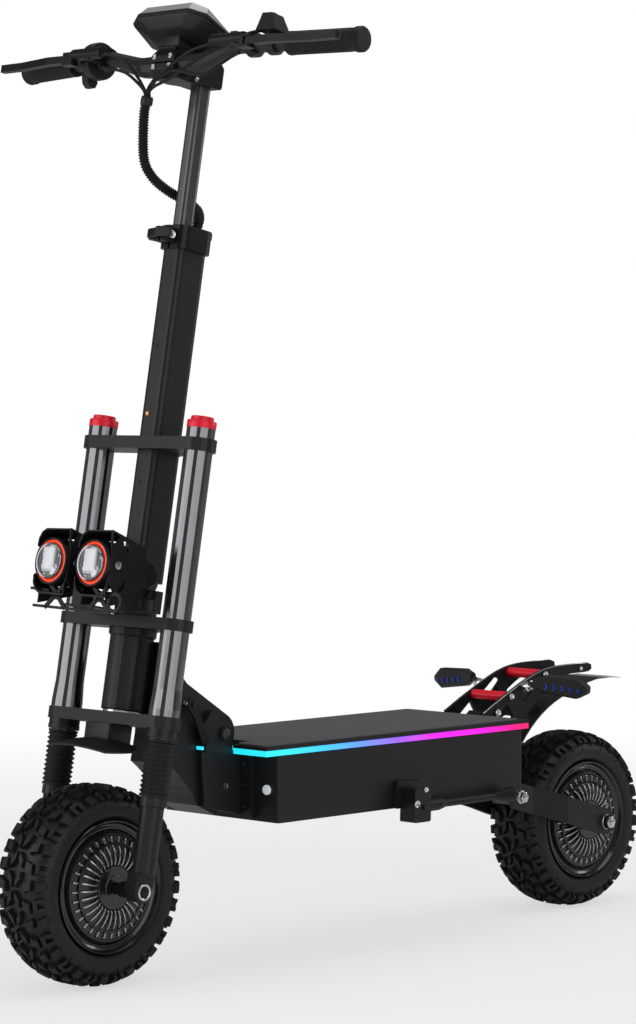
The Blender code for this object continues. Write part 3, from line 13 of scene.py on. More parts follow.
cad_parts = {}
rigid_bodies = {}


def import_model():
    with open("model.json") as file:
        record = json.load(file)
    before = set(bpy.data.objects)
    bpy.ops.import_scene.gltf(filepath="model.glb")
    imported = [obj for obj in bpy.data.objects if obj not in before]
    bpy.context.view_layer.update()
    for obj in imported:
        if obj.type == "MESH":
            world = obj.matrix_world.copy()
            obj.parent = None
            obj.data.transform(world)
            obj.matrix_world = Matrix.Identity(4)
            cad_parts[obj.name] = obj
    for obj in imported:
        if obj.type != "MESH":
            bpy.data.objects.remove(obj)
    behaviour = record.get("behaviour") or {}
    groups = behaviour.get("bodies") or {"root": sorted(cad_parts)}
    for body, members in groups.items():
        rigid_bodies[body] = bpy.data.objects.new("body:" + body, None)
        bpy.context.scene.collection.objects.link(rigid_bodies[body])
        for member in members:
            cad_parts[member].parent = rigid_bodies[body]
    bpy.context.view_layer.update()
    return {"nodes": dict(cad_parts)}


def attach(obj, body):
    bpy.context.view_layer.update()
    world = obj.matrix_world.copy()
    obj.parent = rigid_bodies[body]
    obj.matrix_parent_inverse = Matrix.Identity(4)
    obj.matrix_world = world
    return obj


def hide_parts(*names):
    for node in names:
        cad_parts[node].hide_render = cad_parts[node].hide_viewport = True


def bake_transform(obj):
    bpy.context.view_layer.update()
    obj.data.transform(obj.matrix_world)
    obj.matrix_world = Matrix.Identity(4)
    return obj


for leftover in list(bpy.data.objects):
    bpy.data.objects.remove(leftover, do_unlink=True)

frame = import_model()
nodes = frame["nodes"]

# Places that the solids are built on
RAKE = math.radians(10.25)
STEERING = Matrix.Translation((0, -0.501619, 0.139441)) @ Matrix.Rotation(-RAKE, 4, "X")
HALF_WHEELBASE = 0.5213
TYRE_RADIUS = 0.143
FRONT_AXLE = Vector((0, -HALF_WHEELBASE, TYRE_RADIUS))
REAR_AXLE = Vector((0, HALF_WHEELBASE, TYRE_RADIUS))
ARM_PIVOT = (0.33, 0.1985)  # along Y and up
LEFT_AND_RIGHT = (("left", 1), ("right", -1))
SIDES = (-1, 1)


# Finishes

class Value:
    """A shader socket that takes part in arithmetic: each operator adds a Math node."""

    def __init__(self, tree, socket):
        self.tree = tree
        self.socket = socket

    def _math(self, operation, first, second):
        node = self.tree.nodes.new("ShaderNodeMath")
        node.operation = operation
        for slot, term in zip(node.inputs, (first, second)):
            if isinstance(term, Value):
                self.tree.links.new(term.socket, slot)
            else:
                slot.default_value = term
        return Value(self.tree, node.outputs[0])

    def __add__(self, other):
        return self._math("ADD", self, other)

    __radd__ = __add__

    def __sub__(self, other):
        return self._math("SUBTRACT", self, other)

    def __rsub__(self, other):
        return self._math("SUBTRACT", other, self)

    def __mul__(self, other):
        return self._math("MULTIPLY", self, other)

    __rmul__ = __mul__

    def __truediv__(self, other):
        return self._math("DIVIDE", self, other)


class Finish:
    """A material: a Principled shader fed with plain numbers, colours or Values."""

    def __init__(self, name, metallic=0.0, coat=0.0, roughness=0.5, shine=0.5):
        self.material = bpy.data.materials.new(name)
        self.material.use_nodes = True
        self.tree = self.material.node_tree
        self.shader = self.tree.nodes["Principled BSDF"]
        self.feed("Metallic", metallic)
        self.feed("Coat Weight", coat)
        self.feed("Roughness", roughness)
        self.shader.inputs["Specular IOR Level"].default_value = shine

    def feed(self, socket, value, node=None):
        slot = (node or self.shader).inputs[socket]
        if isinstance(value, Value):
            self.tree.links.new(value.socket, slot)
        elif isinstance(value, tuple) and len(value) == 3 and slot.type == "RGBA":
            slot.default_value = (*value, 1)
        else:
            slot.default_value = value

    def node(self, kind, output, settings=(), inputs=()):
        node = self.tree.nodes.new("ShaderNode" + kind)
        for name, setting in settings:
            setattr(node, name, setting)
        for socket, value in inputs:
            self.feed(socket, value, node)
        return Value(self.tree, node.outputs[output])

    def place(self, stretch=(1, 1, 1), turn=(0, 0, 0)):
        where = self.node("TexCoord", "Object")
        return self.node("Mapping", "Vector",
                         inputs=(("Vector", where), ("Scale", stretch), ("Rotation", turn)))

    def along(self, axis, stretch=(1, 1, 1)):
        return self.node("SeparateXYZ", axis, inputs=(("Vector", self.place(stretch)),))

    def noise(self, scale, detail=2.0, stretch=(1, 1, 1)):
        return self.node("TexNoise", "Fac", inputs=(("Vector", self.place(stretch)), ("Scale", scale),
                                                    ("Detail", detail)))

    def cells(self, scale, stretch=(1, 1, 1)):
        return self.node("TexVoronoi", "Distance", inputs=(("Vector", self.place(stretch)), ("Scale", scale)))

    def blend(self, first, second, share):
        return self.node("Mix", 2, (("data_type", "RGBA"),), ((0, share), (6, first), (7, second)))

    def ramp(self, share, stops):
        node = self.tree.nodes.new("ShaderNodeValToRGB")
        node.color_ramp.elements[0].position = stops[0][0]
        node.color_ramp.elements[-1].position = stops[-1][0]
        for position, _ in stops[1:-1]:
            node.color_ramp.elements.new(position)
        for element, (_, colour) in zip(node.color_ramp.elements, stops):
            element.color = (*colour, 1)
        self.feed("Fac", share, node)
        return Value(self.tree, node.outputs["Color"])

    def relief(self, height, depth, strength=1.0):
        self.feed("Normal", self.node("Bump", "Normal", inputs=(("Height", height), ("Distance", depth),
                                                                ("Strength", strength))))


def tinted(finish, colour, spread, cloud):
    """A colour that drifts a little darker and lighter over the surface."""
    dark = tuple(part * (1 - spread) for part in colour)
    light = tuple(min(1, part * (1 + spread)) for part in colour)
    finish.feed("Base Color", finish.blend(dark, light, cloud))


def painted(name, colour, roughness, grain=900.0, depth=0.00004, coat=0.0, metallic=0.0, spread=0.25,
            shine=0.5):
    """Powder coat, anodising or moulded plastic: a drifting tone under a fine grain."""
    finish = Finish(name, metallic, coat, shine=shine)
    cloud = finish.noise(22.0, 4.0)
    fine = finish.noise(grain, 2.0)
    tinted(finish, colour, spread, cloud)
    finish.feed("Roughness", cloud * 0.1 + fine * 0.08 + (roughness - 0.09))
    finish.relief(fine, depth)
    return finish.material


def brushed(name, colour, roughness, stretch, metallic=1.0):
    """Metal with fine lines drawn along one direction."""
    finish = Finish(name, metallic)
    lines = finish.noise(420.0, 3.0, stretch)
    cloud = finish.noise(30.0, 3.0)
    tinted(finish, colour, 0.12, lines)
    finish.feed("Roughness", lines * 0.14 + cloud * 0.08 + (roughness - 0.11))
    finish.relief(lines, 0.00002)
    return finish.material


def glowing(name, colour, strength, roughness=0.25):
    finish = Finish(name, 0.0, 0.3, roughness)
    grain = finish.noise(300.0, 1.0)
    tinted(finish, colour, 0.05, grain)
    finish.feed("Emission Color", finish.blend(tuple(part * 0.85 for part in colour), colour, grain))
    finish.shader.inputs["Emission Strength"].default_value = strength
    return finish.material


def tyre_rubber():
    finish = Finish("tyre_rubber", shine=0.34)
    cloud, fine = finish.noise(14.0, 4.0), finish.noise(700.0, 3.0)
    tinted(finish, (0.0085, 0.0085, 0.0088), 0.35, cloud)
    finish.feed("Roughness", cloud * 0.16 + fine * 0.12 + 0.34)
    finish.relief(fine, 0.00012)
    return finish.material


def deck_grip():
    """Coarse grit on the deck, its grains lighter than the ground between them."""
    finish = Finish("deck_grip")
    grit, cloud = finish.cells(620.0), finish.noise(9.0, 3.0)
    spark = (0.16 - grit) * 4.0
    finish.feed("Base Color", finish.blend((0.085, 0.085, 0.09), (0.3, 0.3, 0.315), spark))
    finish.feed("Roughness", cloud * 0.2 + 0.62)
    finish.relief(1.0 - grit, 0.0006)
    return finish.material


def strip_light():
    """The deck edge's diffuser: cyan at the front, through blue, violet and magenta to rose at the back."""
    finish = Finish("strip_light", roughness=0.3)
    share = (finish.along("Y") + 0.3) / 0.6
    shade = finish.ramp(share, ((0.0, (0.02, 0.78, 0.95)), (0.2, (0.04, 0.5, 0.98)), (0.34, (0.1, 0.28, 1.0)),
                                (0.48, (0.28, 0.1, 0.95)), (0.62, (0.72, 0.01, 0.9)),
                                (0.8, (0.92, 0.002, 0.62)),
                                (0.92, (0.95, 0.002, 0.22)), (1.0, (0.8, 0.01, 0.07))))
    finish.feed("Base Color", shade)
    finish.feed("Emission Color", shade)
    finish.shader.inputs["Emission Strength"].default_value = 0.76
    return finish.material


def mudguard_fade():
    """Black mudguard plastic that turns smoky and half clear at the flap's tip."""
    finish = Finish("mudguard_plastic", roughness=0.46, shine=0.38)
    share = finish.node("MapRange", "Result", inputs=(("Value", finish.along("Y")), ("From Min", 0.56),
                                                      ("From Max", 0.612)))
    fine = finish.noise(1500.0, 2.0)
    finish.feed("Base Color", finish.blend((0.01, 0.01, 0.011), (0.3, 0.3, 0.31), share))
    finish.feed("Alpha", 1.0 - share * 0.55)
    finish.relief(fine, 0.00006)
    return finish.material


def clear_cover(name, colour, alpha, roughness=0.08):
    finish = Finish(name, 0.0, 0.5, roughness)
    haze = finish.noise(60.0, 2.0)
    tinted(finish, colour, 0.05, haze)
    finish.feed("Roughness", haze * 0.05 + roughness)
    finish.feed("Alpha", haze * 0.04 + (alpha - 0.02))
    return finish.material


SATIN_BLACK = painted("satin_black", (0.0085, 0.0085, 0.0092), 0.42, shine=0.36)
SOFT_BLACK = painted("soft_black", (0.012, 0.012, 0.013), 0.46, grain=500.0, depth=0.00008, shine=0.45)
GLOSS_BLACK = painted("gloss_black", (0.008, 0.008, 0.009), 0.22, coat=0.4, depth=0.00001)
BLACK_ALLOY = painted("black_alloy", (0.02, 0.02, 0.022), 0.38, metallic=0.7, grain=1200.0, shine=0.4)
GREY_ALLOY = brushed("grey_alloy", (0.105, 0.105, 0.11), 0.34, (1, 1, 0.03), 0.85)
MOULDED_BLACK = painted("moulded_black", (0.01, 0.01, 0.011), 0.46, grain=1500.0, depth=0.00006, shine=0.38)
RUBBER = painted("soft_rubber", (0.008, 0.008, 0.008), 0.6, grain=650.0, depth=0.0001, shine=0.3)
RED_ALLOY = painted("red_alloy", (0.8, 0.004, 0.024), 0.36, metallic=0.1, depth=0.00002, spread=0.08)
SMOKED_CHROME = brushed("smoked_chrome", (0.215, 0.215, 0.225), 0.17, (1, 1, 0.02))
DARK_CHROME = brushed("dark_chrome", (0.36, 0.36, 0.38), 0.16, (1, 1, 0.2))
STEEL = brushed("bright_steel", (0.66, 0.66, 0.68), 0.24, (0.1, 1, 1))
MACHINED = brushed("machined_edge", (0.46, 0.46, 0.48), 0.26, (1, 0.3, 0.3))
COPPER = brushed("copper_screw", (0.72, 0.36, 0.18), 0.3, (1, 1, 0.2))
TYRE = tyre_rubber()
DECK_GRIP = deck_grip()
STRIP_LIGHT = strip_light()
CELL_WRAP = painted("cell_wrap", (0.02, 0.1, 0.3), 0.42, grain=200.0, coat=0.3)
# White glow for the headlamp emitters, and a painted highlight on the discs at the deck's front.
WHITE_LAMP_AND_HIGHLIGHT = glowing("white_lamp_and_painted_highlight", (0.62, 0.63, 0.66), 0.4)
RING_LIGHT = glowing("ring_light", (0.82, 0.045, 0.008), 0.72)
CYAN_LIGHT = glowing("cyan_light", (0.03, 0.62, 0.9), 1.2)
LENS_GLASS = clear_cover("lens_glass", (0.6, 0.61, 0.63), 0.1)
SCREEN_GLASS = painted("screen_glass", (0.01, 0.011, 0.013), 0.14, coat=0.6, depth=0.000004)
SILVER_PAINT = painted("silver_paint", (0.34, 0.34, 0.35), 0.3, grain=900.0, depth=0.00003, metallic=0.25)
DARK_BLUE_LIGHT = glowing("dark_blue_light", (0.008, 0.02, 0.22), 0.55)
DARK_RED = painted("dark_red", (0.06, 0.008, 0.008), 0.4)
GUARD_FADE = mudguard_fade()
DISC_STEEL = brushed("disc_steel", (0.52, 0.52, 0.54), 0.28, (1, 0.15, 0.15))


# Shapes: each function returns a bmesh in the frame that its piece is drawn in

TO_AXIS = {"X": Matrix.Rotation(math.pi / 2, 4, "Y"), "Y": Matrix.Rotation(-math.pi / 2, 4, "X"),
           "Z": Matrix.Identity(4)}
IN_PLANE = {"X": lambda a, b, along: (along, a, b), "Y": lambda a, b, along: (a, along, b),
            "Z": lambda a, b, along: (a, b, along)}


def aimed(start, end):
    """The matrix that takes the Z axis from start towards end."""
    start, end = Vector(start), Vector(end)
    turn = Vector((0, 0, 1)).rotation_difference(end - start).to_matrix().to_4x4()
    return Matrix.Translation(start) @ turn


def spun(outline, axis="Z", steps=48, centre=(0, 0, 0)):
    """A closed outline of (radius, along) turned about an axis."""
    shape = bmesh.new()
    ring = [shape.verts.new((radius, 0, along)) for radius, along in outline]
    for first, second in zip(ring, ring[1:] + ring[:1]):
        if max(first.co.x, second.co.x) > 0:
            shape.edges.new((first, second))
    bmesh.ops.spin(shape, geom=shape.verts[:] + shape.edges[:], axis=(0, 0, 1), angle=math.tau,
                   steps=steps, use_merge=True)
    bmesh.ops.remove_doubles(shape, verts=shape.verts, dist=1e-6)
    bmesh.ops.transform(shape, matrix=Matrix.Translation(centre) @ TO_AXIS[axis], verts=shape.verts)
    return shape


def prism(outline, axis, low, high):
    shape = bmesh.new()
    place = IN_PLANE[axis]
    face = shape.faces.new([shape.verts.new(place(a, b, low)) for a, b in outline])
    grown = bmesh.ops.extrude_face_region(shape, geom=[face])["geom"]
    corners = [item for item in grown if isinstance(item, bmesh.types.BMVert)]
    bmesh.ops.translate(shape, verts=corners, vec=place(0, 0, high - low))
    return shape


def rod(start, end, radius, steps=20):
    length = (Vector(end) - Vector(start)).length
    shape = bmesh.new()
    bmesh.ops.create_cone(shape, cap_ends=True, segments=steps, radius1=radius, radius2=radius, depth=length,
                          matrix=aimed(start, end) @ Matrix.Translation((0, 0, length / 2)))
    return shape


def pierced(outline, holes, axis, low, high):
    """A plate square to an axis with openings through it."""
    shape = bmesh.new()
    place = IN_PLANE[axis]
    for loop in (outline, *holes):
        ring = [shape.verts.new(place(a, b, low)) for a, b in loop]
        for pair in zip(ring, ring[1:] + ring[:1]):
            shape.edges.new(pair)
    bmesh.ops.triangle_fill(shape, edges=shape.edges[:], use_beauty=True)
    grown = bmesh.ops.extrude_face_region(shape, geom=shape.faces[:])["geom"]
    corners = [item for item in grown if isinstance(item, bmesh.types.BMVert)]
    bmesh.ops.translate(shape, verts=corners, vec=place(0, 0, high - low))
    return shape


def rect(a, b, far_a, far_b):
    """The outline between two opposite corners."""
    return [(a, b), (far_a, b), (far_a, far_b), (a, far_b)]


def circle(centre, radius, steps=20):
    return [(centre[0] + radius * math.cos(math.tau * step / steps),
             centre[1] + radius * math.sin(math.tau * step / steps)) for step in range(steps)]


def softened(shape, width, segments=2, angle=30):
    sharp = [edge for edge in shape.edges
             if len(edge.link_faces) == 2 and edge.calc_face_angle() > math.radians(angle)]
    bmesh.ops.bevel(shape, geom=sharp, offset=width, offset_type="OFFSET", segments=segments, profile=0.5,
                    affect="EDGES", clamp_overlap=True, material=-1)
    return shape


def moved(shape, matrix):
    bmesh.ops.transform(shape, matrix=matrix, verts=shape.verts)
    return shape


def together(shapes):
    """Several shapes in one bmesh."""
    whole = bmesh.new()
    for shape in shapes:
        mesh = bpy.data.meshes.new("part")
        shape.to_mesh(mesh)
        whole.from_mesh(mesh)
        bpy.data.meshes.remove(mesh)
        shape.free()
    return whole


def ringed(shape, count):
    """The shape repeated round the X axis, count times in all."""
    bmesh.ops.spin(shape, geom=shape.verts[:] + shape.edges[:] + shape.faces[:], axis=(1, 0, 0),
                   angle=math.tau * (count - 1) / count, steps=count - 1, use_duplicate=True)
    return shape


def smooth_path(knots, per_span=6):
    knots = [Vector(knot) for knot in knots]
    ends = [2 * knots[0] - knots[1]] + knots + [2 * knots[-1] - knots[-2]]
    path = []
    for a, b, c, d in zip(ends, ends[1:], ends[2:], ends[3:]):
        for step in range(per_span):
            t = step / per_span
            path.append(0.5 * (2 * b + (c - a) * t + (2 * a - 5 * b + 4 * c - d) * t * t
                               + (3 * b - a - 3 * c + d) * t ** 3))
    return path + [knots[-1]]


def evenly(path, count):
    """The same path resampled into steps of one length."""
    spans = [0.0]
    for here, beyond in zip(path, path[1:]):
        spans.append(spans[-1] + (beyond - here).length)
    points, step = [], 0
    for number in range(count + 1):
        goal = spans[-1] * number / count
        while step < len(path) - 2 and spans[step + 1] < goal:
            step += 1
        share = (goal - spans[step]) / (spans[step + 1] - spans[step])
        points.append(path[step].lerp(path[step + 1], min(max(share, 0.0), 1.0)))
    return points


def swept(path, radius, sides=12, swell=None):
    """A closed tube along a path; swell gives each ring's share of the radius."""
    shape = bmesh.new()
    path = [Vector(point) for point in path]
    loops, turn = [], None
    for number, point in enumerate(path):
        heading = path[min(number + 1, len(path) - 1)] - path[max(number - 1, 0)]
        if turn is None:
            turn = Vector((0, 0, 1)).rotation_difference(heading)
        else:
            turn = (turn @ Vector((0, 0, 1))).rotation_difference(heading) @ turn
        size = radius * (swell(number) if swell else 1.0)
        ring = bmesh.ops.create_circle(shape, segments=sides, radius=size,
                                       matrix=Matrix.Translation(point) @ turn.to_matrix().to_4x4())["verts"]
        loops.append(list({edge for corner in ring for edge in corner.link_edges}))
    for lower, upper in zip(loops, loops[1:]):
        bmesh.ops.bridge_loops(shape, edges=lower + upper)
    bmesh.ops.holes_fill(shape, edges=loops[0] + loops[-1])
    return shape


def keep(name, shape, body, material, place=None, replaces=(), sharp=32):
    """Turns a bmesh into a finished piece that rides on a body; given two bodies and where each ends, it is
    only baked in place and rides on neither."""
    if place is not None:
        bmesh.ops.transform(shape, matrix=place, verts=shape.verts)
    bmesh.ops.recalc_face_normals(shape, faces=shape.faces)
    mesh = bpy.data.meshes.new(name)
    shape.to_mesh(mesh)
    shape.free()
    mesh.shade_smooth()
    mesh.set_sharp_from_angle(angle=math.radians(sharp))
    mesh.materials.append(material)
    piece = bpy.data.objects.new(name, mesh)
    bpy.context.scene.collection.objects.link(piece)
    if isinstance(body, tuple):
        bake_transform(piece)
    else:
        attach(piece, body)
    if replaces:
        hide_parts(*replaces)


def on_steering(name, shape, material, replaces=(), sharp=32):
    """Keeps a piece that is drawn along the steering axis and turns with it."""
    keep(name, shape, "steering", material, STEERING, replaces, sharp)


# Wheels

DISC_PLACE = -0.0652  # across, on the rider's right

TREAD_FLOOR = ((0.0, 0.1364), (0.014, 0.1359), (0.0262, 0.134), (0.0355, 0.1305), (0.0425, 0.1252),
               (0.047, 0.1185), (0.0486, 0.111), (0.047, 0.103))  # half the carcass outside: across, radius


def floor_at(across):
    """Place and outward direction on the carcass, across from -1 at one side wall to 1 at the other."""
    reach = min(abs(across), 0.9999) * (len(TREAD_FLOOR) - 1)
    step = int(reach)
    here, beyond = Vector(TREAD_FLOOR[step]), Vector(TREAD_FLOOR[step + 1])
    spot = here.lerp(beyond, reach - step)
    outward = Vector((here.y - beyond.y, beyond.x - here.x)).normalized()
    if across < 0:
        spot.x, outward.x = -spot.x, -outward.x
    return spot, outward


def tread_block(across, around, lean=0.0, waist=0.0, height=0.0062):
    """One rubber block: its reach across the tyre and round it (degrees), a lean, a waist and a height."""
    shape = bmesh.new()
    bmesh.ops.create_grid(shape, x_segments=4, y_segments=2, size=0.5)
    grown = bmesh.ops.extrude_face_region(shape, geom=shape.faces[:])["geom"]
    top = {item for item in grown if isinstance(item, bmesh.types.BMVert)}
    for corner in shape.verts:
        u, v = corner.co.x, corner.co.y
        raised = corner in top
        if raised:
            u, v = u * 0.86, v * 0.82
        v *= 1 - waist * (1 - 4 * u * u)
        spot, outward = floor_at(sum(across) / 2 + (across[1] - across[0]) * u)
        spot += outward * (height if raised else -0.0012)
        angle = math.radians(sum(around) / 2 + (around[1] - around[0]) * v + lean * u)
        corner.co = (spot.x, -spot.y * math.sin(angle), spot.y * math.cos(angle))
    return shape


def tread():
    """Blocks in sixteen periods round the tyre, the right half set half a period behind the left."""
    period = 22.5
    half = [
        ((0.395, 0.475), (1.0, 9.4), 0.0, 0.0, 0.007), ((0.47, 0.615), (1.0, 4.0), 0.0, 0.0, 0.0074),
        ((0.47, 0.615), (6.6, 9.4), 0.0, 0.0, 0.0074), ((0.42, 0.625), (12.8, 20.2), -1.5, 0.14, 0.0074),
        ((0.18, 0.33), (2.6, 9.4), 2.0, 0.1, 0.0072), ((0.19, 0.35), (13.6, 20.2), -2.0, 0.1, 0.0072),
        ((0.025, 0.125), (-0.4, 4.8), 5.0, 0.08, 0.007), ((0.025, 0.125), (11.0, 16.2), -5.0, 0.08, 0.007),
        ((0.7, 0.79), (5.0, 5.9), 0.0, 0.0, 0.0011), ((0.66, 0.715), (14.6, 18.2), 0.0, 0.0, 0.0013),
    ]
    blocks = [tread_block(across, around, lean, waist, height) for across, around, lean, waist,
              height in half]
    blocks += [tread_block((-across[1], -across[0]), (around[0] + period / 2, around[1] + period / 2), lean,
                           waist, height) for across, around, lean, waist, height in half]
    return ringed(together(blocks), 16)


def carcass():
    outer = [(radius, across) for across, radius in TREAD_FLOOR]
    wall = outer + [(0.1015, 0.0466), (0.1004, 0.0467), (0.0995, 0.0452), (0.0978, 0.0438), (0.0962, 0.0412),
                    (0.0945, 0.038), (0.0915, 0.0335), (0.0905, 0.025), (0.104, 0.0335), (0.114, 0.0395),
                    (0.122, 0.033), (0.128, 0.0)]
    left = wall[:-1]
    right = [(radius, -across) for radius, across in reversed(left[1:])]
    return spun(left + [wall[-1]] + right, "X", 96)


def make_tyre(end, body, axle):
    keep(f"{end}_block_tyre", together([carcass(), tread()]), body, TYRE, Matrix.Translation(axle),
         (f"{end}_tyre",), sharp=28)


def both_sides(half):
    """A loop of (radius, across) from the half of it on one side."""
    return half + [(radius, -across) for radius, across in reversed(half)]


def rim_shape():
    """The rim's glossy lips, wells and barrel."""
    half = [(0.0945, 0.0452), (0.0936, 0.0462), (0.0922, 0.046), (0.0908, 0.044), (0.0888, 0.0405),
            (0.0852, 0.0386), (0.084, 0.0392), (0.0822, 0.039), (0.0808, 0.037), (0.08, 0.036),
            (0.0785, 0.0355),
            (0.076, 0.025), (0.086, 0.021), (0.0885, 0.023), (0.0905, 0.033), (0.0928, 0.04)]
    return spun(both_sides(half), "X", 96)


def motor_shell():
    """The hub motor's drum: a flat middle, a trough for each ring of fins and a step down to the rim."""
    half = [(0.0088, 0.0552), (0.018, 0.0552), (0.019, 0.0545), (0.0298, 0.0545), (0.0312, 0.053),
            (0.0318, 0.05), (0.05, 0.0484), (0.06, 0.0462), (0.0612, 0.0478), (0.063, 0.0476), (0.064, 0.044),
            (0.0735, 0.0424), (0.0745, 0.044), (0.0765, 0.0436), (0.078, 0.041), (0.079, 0.0345)]
    return spun(both_sides(half), "X", 96)


def fin_ring(outline, count, thick):
    """Cooling fins round the axle, each a bevelled outline of (radius, across)."""
    fin = prism([(across, radius) for radius, across in outline], "Y", -thick / 2, thick / 2)
    return ringed(softened(fin, 0.0004, 2), count)


def motor_fins():
    """Long domed fins about the flat middle and a ring of short ones outside them."""
    long_fin = [(0.0316, 0.049), (0.0319, 0.053), (0.036, 0.0547), (0.043, 0.0551), (0.051, 0.0537),
                (0.0575, 0.0508), (0.0597, 0.0485), (0.0599, 0.0455)]
    short_fin = [(0.0641, 0.043), (0.0646, 0.0474), (0.0722, 0.0458), (0.0733, 0.0418)]
    return together([fin_ring(long_fin, 32, 0.0022), fin_ring(short_fin, 32, 0.0026)])


def disc_shape():
    """A brake disc with a waved edge."""
    outline, half = [], 0.0009
    for turn in (math.tau * step / 120 for step in range(120)):
        radius = 0.0676 + 0.001 * math.cos(12 * turn)
        outline.append((radius * math.cos(turn), radius * math.sin(turn)))
    return prism(outline, "X", DISC_PLACE - half, DISC_PLACE + half)


def make_hub(end, body, axle):
    here = Matrix.Translation(axle)
    keep(f"{end}_rim", rim_shape(), body, GLOSS_BLACK, here, (f"{end}_hub_motor",))
    keep(f"{end}_motor_shell", motor_shell(), body, GLOSS_BLACK, here)
    fins = motor_fins()
    other = moved(motor_fins(), Matrix.Scale(-1, 4, (1, 0, 0)))
    keep(f"{end}_motor_fins", together([fins, other]), body, MACHINED, here)
    keep(f"{end}_brake_disc", disc_shape(), body, DISC_STEEL, here)
    carrier = spun([(0.0089, -0.056), (0.02, -0.056), (0.0215, -0.0662), (0.033, -0.0664), (0.033, -0.0674),
                    (0.0089, -0.068)], "X", 48)
    keep(f"{end}_disc_carrier", carrier, body, BLACK_ALLOY, here)


# Fork

BOOT = (0.1325, 0.213)
STANCHIONS = ((0.103, "left"), (-0.103, "right"))
FORK_OFFSET = -0.0155  # the stanchions stand this far ahead of the steering axis


def bellows(low, high, folds):
    """A corrugated boot between its two clamped collars."""
    outline = [(0.018, low), (0.0208, low), (0.0208, low + 0.004)]
    span = (high - low - 0.008) / folds
    for number in range(folds):
        foot = low + 0.004 + number * span
        outline += [(0.0186, foot + span * 0.08), (0.0186, foot + span * 0.2), (0.0215, foot + span * 0.58),
                    (0.0215, foot + span * 0.68)]
    outline += [(0.0195, high - 0.004), (0.0212, high - 0.0035), (0.0212, high), (0.018, high)]
    return outline


def make_boots():
    """Ribbed dust boots, each under a smooth collar below the lower crown."""
    start, end = (STEERING @ Vector((0, 0, height)) for height in (BOOT[1] - 0.003, BOOT[0] + 0.003))
    for x, word in STANCHIONS:
        keep(f"dust_boot_{word}", spun(bellows(*BOOT, 11), "Z", 40, (x, FORK_OFFSET, 0)),
             ("steering", "front_lower", start, end), RUBBER, STEERING, (f"fork_boot_{word}",),
             sharp=60)
        sleeve = [(0.0206, 0.2138), (0.0221, 0.2138), (0.0228, 0.215), (0.0228, 0.2195), (0.0222, 0.2205),
                  (0.0222, 0.2283), (0.0206, 0.2283)]
        on_steering(f"boot_collar_{word}", spun(sleeve, "Z", 48, (x, FORK_OFFSET, 0)), SATIN_BLACK)


def make_caps():
    """Red top caps on the stanchions: a skirt as wide as the tube and a raised, narrower head."""
    foot = 0.6553
    outline = [(0.0, foot), (0.0209, foot), (0.0211, foot + 0.0008), (0.0211, foot + 0.0096),
               (0.0204, foot + 0.0108),
               (0.0168, foot + 0.0111), (0.0164, foot + 0.0117), (0.0164, foot + 0.0158),
               (0.0156, foot + 0.0168),
               (0.009, foot + 0.0168), (0.0082, foot + 0.015), (0.0, foot + 0.015)]
    for x, word in STANCHIONS:
        on_steering(f"stanchion_cap_{word}", spun(outline, "Z", 56, (x, FORK_OFFSET, 0)), RED_ALLOY)


def socket_screw(place, direction, radius, depth, steps=24):
    """A cap screw with a hexagonal socket, its head's underside at place."""
    head = softened(rod((0, 0, 0), (0, 0, depth), radius, steps), radius * 0.12, 1)
    crown = max((face for face in head.faces), key=lambda face: face.calc_center_median().z)
    bmesh.ops.inset_region(head, faces=[crown], thickness=radius * 0.42)
    bmesh.ops.translate(head, verts=crown.verts, vec=(0, 0, -depth * 0.45))
    return moved(head, aimed(place, Vector(place) + Vector(direction)))


def hex_nut(place, direction, radius, depth):
    """A nut on a washer, with a rounded stud end."""
    washer = softened(rod((0, 0, 0), (0, 0, depth * 0.22), radius * 1.32, 32), radius * 0.05, 1)
    nut = softened(rod((0, 0, depth * 0.22), (0, 0, depth), radius * 1.12, 6), radius * 0.07, 2)
    stud = softened(rod((0, 0, depth * 0.5), (0, 0, depth * 1.25), radius * 0.62, 20), radius * 0.12, 2)
    return moved(together([washer, nut, stud]), aimed(place, Vector(place) + Vector(direction)))


def make_fork_details():
    """A chromed nut with a black socket on each end of the axle."""
    ring = [(0.0084, 0.11), (0.0116, 0.11), (0.0119, 0.1108), (0.0119, 0.1146), (0.0112, 0.1154),
            (0.0095, 0.1154),
            (0.0086, 0.1148)]
    for word, side in LEFT_AND_RIGHT:
        hub = Matrix.Translation(FRONT_AXLE) @ Matrix.Scale(side, 4, (1, 0, 0))
        keep(f"front_axle_ring_{word}", spun(ring, "X", 48), "front_lower", STEEL, hub)
        core = softened(rod((0.11, 0, 0), (0.1152, 0, 0), 0.0083, 6), 0.0006, 2)
        keep(f"front_axle_socket_{word}", core, "front_lower", BLACK_ALLOY, hub)


# Headlamps

LAMP_HEIGHT = 0.4446
LAMP_FACE = -0.1352
LATTICE = (-0.1265, -0.1238)  # front and back of its bars


def visor(middle, up):
    """The plate over a lamp, or under it where up is -1: a far side that wraps down and a flat roof."""
    line = [(-0.0335, 0.0215), (-0.0325, 0.032), (-0.027, 0.0415), (-0.018, 0.0465), (0.034, 0.0475)]
    inner = [(x * 0.94, rise - 0.0022) for x, rise in reversed(line)]
    plate = prism([(middle + x, rise) for x, rise in line + inner], "Y", -0.1335, -0.096)
    for corner in plate.verts:
        droop = 0.0155 * (corner.co.y + 0.1335) / 0.0645
        corner.co.z = LAMP_HEIGHT + up * (corner.co.z - droop)
    return plate


